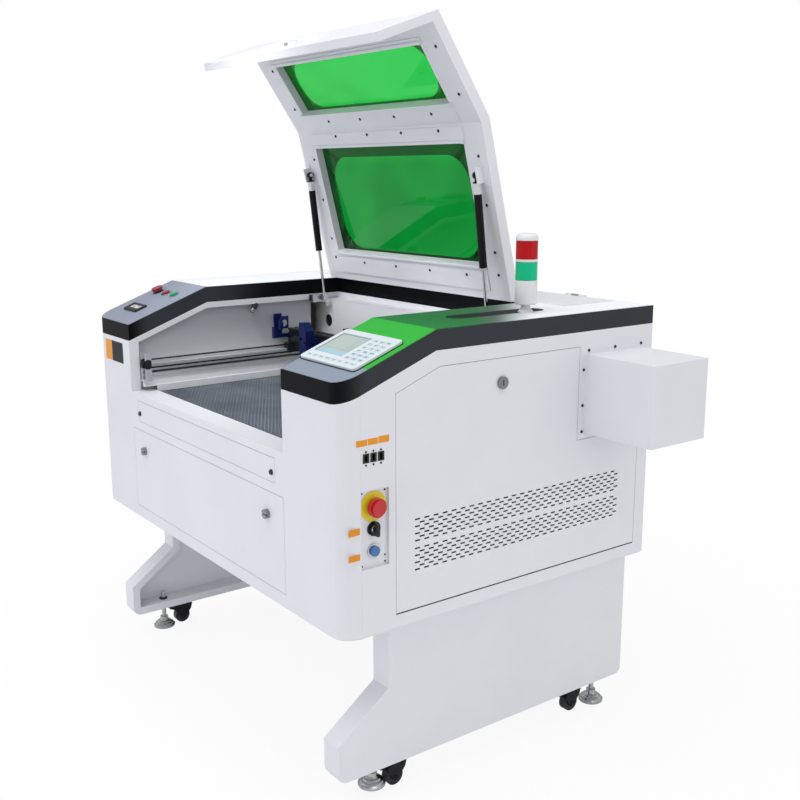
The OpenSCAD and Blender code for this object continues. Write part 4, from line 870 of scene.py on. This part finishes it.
def makeCableCarrier():
    low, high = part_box("gantry_beam")
    x0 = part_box("laser_head")[1].x * 1000 + carrier["fromHead"]
    x1 = high.x * 1000 - carrier["fromEnd"]
    y1 = high.y * 1000 - carrier["fromBack"]
    y0 = y1 - carrier["depth"]
    z0 = high.z * 1000 + carrier["lift"]
    z1 = z0 + carrier["height"]
    wall, inset, proud, bar = carrier["wall"], carrier["panelInset"], carrier["panelProud"], carrier["barThickness"]
    bm = bmesh.new()
    for k in range(int((x1 - x0) / carrier["pitch"])):
        a = x0 + k * carrier["pitch"]
        b = a + carrier["pitch"] - carrier["gap"]
        for y in (y0, y1 - wall):
            addBox(bm, (a, y, z0), (b, y + wall, z1))
            addBox(bm, (a + inset, y - proud, z0 + inset), (b - inset, y + wall + proud, z1 - inset))
        for z in (z1 - bar, z0):
            addBox(bm, (a + carrier["bar"][0], y0, z), (a + carrier["bar"][1], y1, z + bar))
    finishPiece("cableCarrier", bm, ["mouldedAbsBlack"], inMetres, "gantry")


makeCableCarrier()

# Tower light: each part's finish and its turned profile, from the deck up
tower = {
    "centre": (1094, 525), "segments": 40,
    "parts": {
        "towerFoot": ("mouldedAbsWhite", [(0, 0), (16.6, 0), (16.6, 2), (15, 3.6), (11.6, 8), (9.8, 12.5),
                                          (9.8, 15.5), (11.5, 18), (0, 18)]),
        "towerBase": ("mouldedAbsWhite", [(0, 18), (22.6, 18), (23.5, 19.5), (23.5, 66), (22.8, 68), (0, 68)]),
        "towerGreenLens": ("polycarbonateGreen", [(0, 68.4), (22.6, 68.4), (23.1, 69), (23.1, 105.6), (22.6, 106.2),
                                                  (0, 106.2)]),
        "towerRing": ("mouldedAbsWhite", [(0, 106.6), (22.8, 106.6), (23.5, 107.4), (23.5, 111.2), (22.8, 112),
                                          (0, 112)]),
        "towerRedLens": ("polycarbonateRed", [(0, 112.4), (22.6, 112.4), (23.1, 113), (23.1, 149.6), (22.6, 150.2),
                                              (0, 150.2)]),
        "towerCap": ("mouldedAbsWhite", [(0, 150.6), (22.8, 150.6), (23.5, 151.4), (23.5, 155.5), (22.4, 160),
                                         (18.5, 164), (12, 165.6), (0, 166)]),
        "towerSeals": ("mouldedAbsBlack", [(0, 17.5), (22.2, 17.5), (22.2, 151), (0, 151)]),
    },
}
for name, (finishName, profile) in tower["parts"].items():
    shape = {"profile": profile, "segments": tower["segments"]}
    piece = finishTurned(name, finishName, shape, [(*tower["centre"], topLevel)], (0, 0, 1))
    if name == "towerBase":
        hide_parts("tower_light")
print("tower light made")

# Honeycomb panel at its real pitch; corners of cells that fall together within the grid are one
honeycomb = {"pitchMm": 9.0, "wallMm": 0.7, "gridMicrons": 20}


def makeHoneycomb():
    low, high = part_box("honeycomb")
    pitch = honeycomb["pitchMm"] / 1000
    outer = pitch / math.sqrt(3)
    inner = (pitch - honeycomb["wallMm"] / 1000) / math.sqrt(3)
    columns = int((high.x - low.x - 2 * outer) / (1.5 * outer))
    rows = int((high.y - low.y - 1.5 * pitch) / pitch)
    startX = (low.x + high.x - columns * 1.5 * outer) / 2
    startY = (low.y + high.y - (rows + 0.5) * pitch) / 2
    angles = [math.radians(60 * k) for k in range(6)]
    verts, index, faces, rim = [], {}, [], {}

    def vertAt(x, y, z, shared):
        grid = honeycomb["gridMicrons"]
        key = (round(x * 1e6 / grid), round(y * 1e6 / grid), z) if shared else len(verts)
        if key not in index:
            index[key] = len(verts)
            verts.append((x, y, z))
        return index[key]

    for column in range(columns + 1):
        for row in range(rows + 1):
            x = startX + column * 1.5 * outer
            y = startY + (row + (column % 2) / 2) * pitch
            outTop, outLow, inTop, inLow = (
                [vertAt(x + radius * math.cos(a), y + radius * math.sin(a), z, radius == outer) for a in angles]
                for radius in (outer, inner) for z in (high.z, low.z))
            rings = (outTop, inTop, inLow, outLow)
            for k in range(6):
                n = (k + 1) % 6
                faces += [(ring[k], ring[n], after[n], after[k]) for ring, after in zip(rings, rings[1:])]
                side = tuple(sorted((outTop[k], outTop[n])))
                rim.setdefault(side, []).append((outTop[n], outTop[k], outLow[k], outLow[n]))
    faces += [sides[0] for sides in rim.values() if len(sides) == 1]
    mesh = bpy.data.meshes.new("honeycombCells")
    mesh.from_pydata(verts, [], faces)
    mesh.materials.append(materials["aluminiumFoil"])
    piece = addObject("honeycombCells", mesh)
    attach(piece, "bed")
    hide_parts("honeycomb")


makeHoneycomb()
print("honeycomb made")

# Camera, with its place in the cabinet's mm
view = {"place": (2709.8, -1005.8, 1256.3), "yaw": -53.42, "pitch": -12.2, "roll": -0.1, "lensMm": 47.12,
        "sensorMm": 36}
cameraData = bpy.data.cameras.new("camera")
cameraData.lens = view["lensMm"]
cameraData.sensor_width = view["sensorMm"]
camera = addObject("camera", cameraData)
camera.matrix_world = (Matrix.Translation(cabinetMatrix @ Vector(view["place"]))
                       @ Matrix.Rotation(math.radians(-view["yaw"]), 4, "Z")
                       @ Matrix.Rotation(math.radians(90 + view["pitch"]), 4, "X")
                       @ Matrix.Rotation(math.radians(view["roll"]), 4, "Z"))
scene.camera = camera

scene.view_settings.view_transform = "Standard"

# Brightness of the room at the horizon and overhead; the floor clears to white between two distances, in metres
studio = {"ambient": (0.88, 0.66), "reflected": (0.24, 0.62), "climb": (-0.1, 0.7), "floorColour": "#F0F0F2",
          "floorReach": 30, "clearing": (1.0, 2.6), "clearShare": (0.9, 1.0)}


# Seen straight on or through glass the backdrop is plain white; reflections see a dim room
def seenDirectly(add):
    path = add("LightPath").node.outputs
    return add("Math", [path["Is Camera Ray"], path["Is Transmission Ray"]], "ADD", use_clamp=True)


world = bpy.data.worlds.new("studio")
scene.world = world
add = startTree(world)
direction = add("SeparateXYZ", [add("TexCoord", out="Generated")], out="Z")
climb = add("MapRange", [direction, *studio["climb"]])
ambient, reflected = (add("Mix", {0: climb, 2: ends[0], 3: ends[1]})
                      for ends in (studio["ambient"], studio["reflected"]))
room = add("Mix", {0: add("LightPath", out="Is Glossy Ray"), 2: ambient, 3: reflected})
strength = add("Mix", {0: seenDirectly(add), 2: room, 3: 1.0})
add("OutputWorld", {"Surface": add("Background", {"Color": "#FFFFFF", "Strength": strength})})

reach = studio["floorReach"]
floorMesh = bpy.data.meshes.new("studioFloor")
floorMesh.from_pydata([(-reach, -reach, 0), (reach, -reach, 0), (reach, reach, 0), (-reach, reach, 0)], [],
                      [(0, 1, 2, 3)])
floor = addObject("studioFloor", floorMesh)
floorPaint = bpy.data.materials.new("studioFloorPaint")
add = startTree(floorPaint)
away = add("VectorMath", [add("TexCoord", out="Object")], "LENGTH", out="Value")
clearing = add("MapRange", [away, *studio["clearing"], *studio["clearShare"]], interpolation_type="SMOOTHSTEP")
share = add("Math", [clearing, seenDirectly(add)], "MULTIPLY")
matt = add("BsdfDiffuse", {"Color": studio["floorColour"]})
plain = add("Emission", {"Color": "#FFFFFF", "Strength": 1.0})
add("OutputMaterial", {"Surface": add("MixShader", [share, matt, plain])})
floorMesh.materials.append(floorPaint)

# Softboxes are square lamps; a lamp with a cone, in degrees, is a spot
lamps = {
    "topSoftbox": {"place": (0.2, -0.9, 4.0), "aim": (0, 0, 0.8), "size": 3.6, "power": 80,
                   "tint": (0.99, 0.99, 1.0)},
    "leftSoftbox": {"place": (-1.9, -4.0, 2.0), "aim": (0, 0, 0.8), "size": 2.2, "power": 13,
                    "tint": (0.6, 0.75, 1.0)},
    "chamberFill": {"place": (-0.25, -0.6, 1.9), "aim": (-0.2, 0.0, 0.85), "size": 0.12, "power": 22,
                    "tint": (0.97, 0.98, 1.0), "cone": 47},
    "rearWallFill": {"place": (-0.9, -2.4, 1.35), "aim": (0.12, 0.14, 0.84), "size": 0.08, "power": 60,
                     "tint": (1.0, 0.98, 0.97), "cone": 9.5},
    "rightSoftbox": {"place": (3.9, 1.7, 1.9), "aim": (0, 0, 0.8), "size": 2.4, "power": 12, "tint": (1, 1, 1)},
}
spotSoftness = 0.35
for name, lamp in lamps.items():
    data = bpy.data.lights.new(name, "SPOT" if "cone" in lamp else "AREA")
    if "cone" in lamp:
        data.shadow_soft_size = lamp["size"]
        data.spot_size = math.radians(lamp["cone"])
        data.spot_blend = spotSoftness
    else:
        data.size = lamp["size"]
    data.energy = lamp["power"]
    data.color = lamp["tint"]
    light = addObject(name, data)
    light.location = lamp["place"]
    light.rotation_mode = "QUATERNION"
    light.rotation_quaternion = (Vector(lamp["aim"]) - Vector(lamp["place"])).to_track_quat("-Z", "Y")
print("camera and lights set")
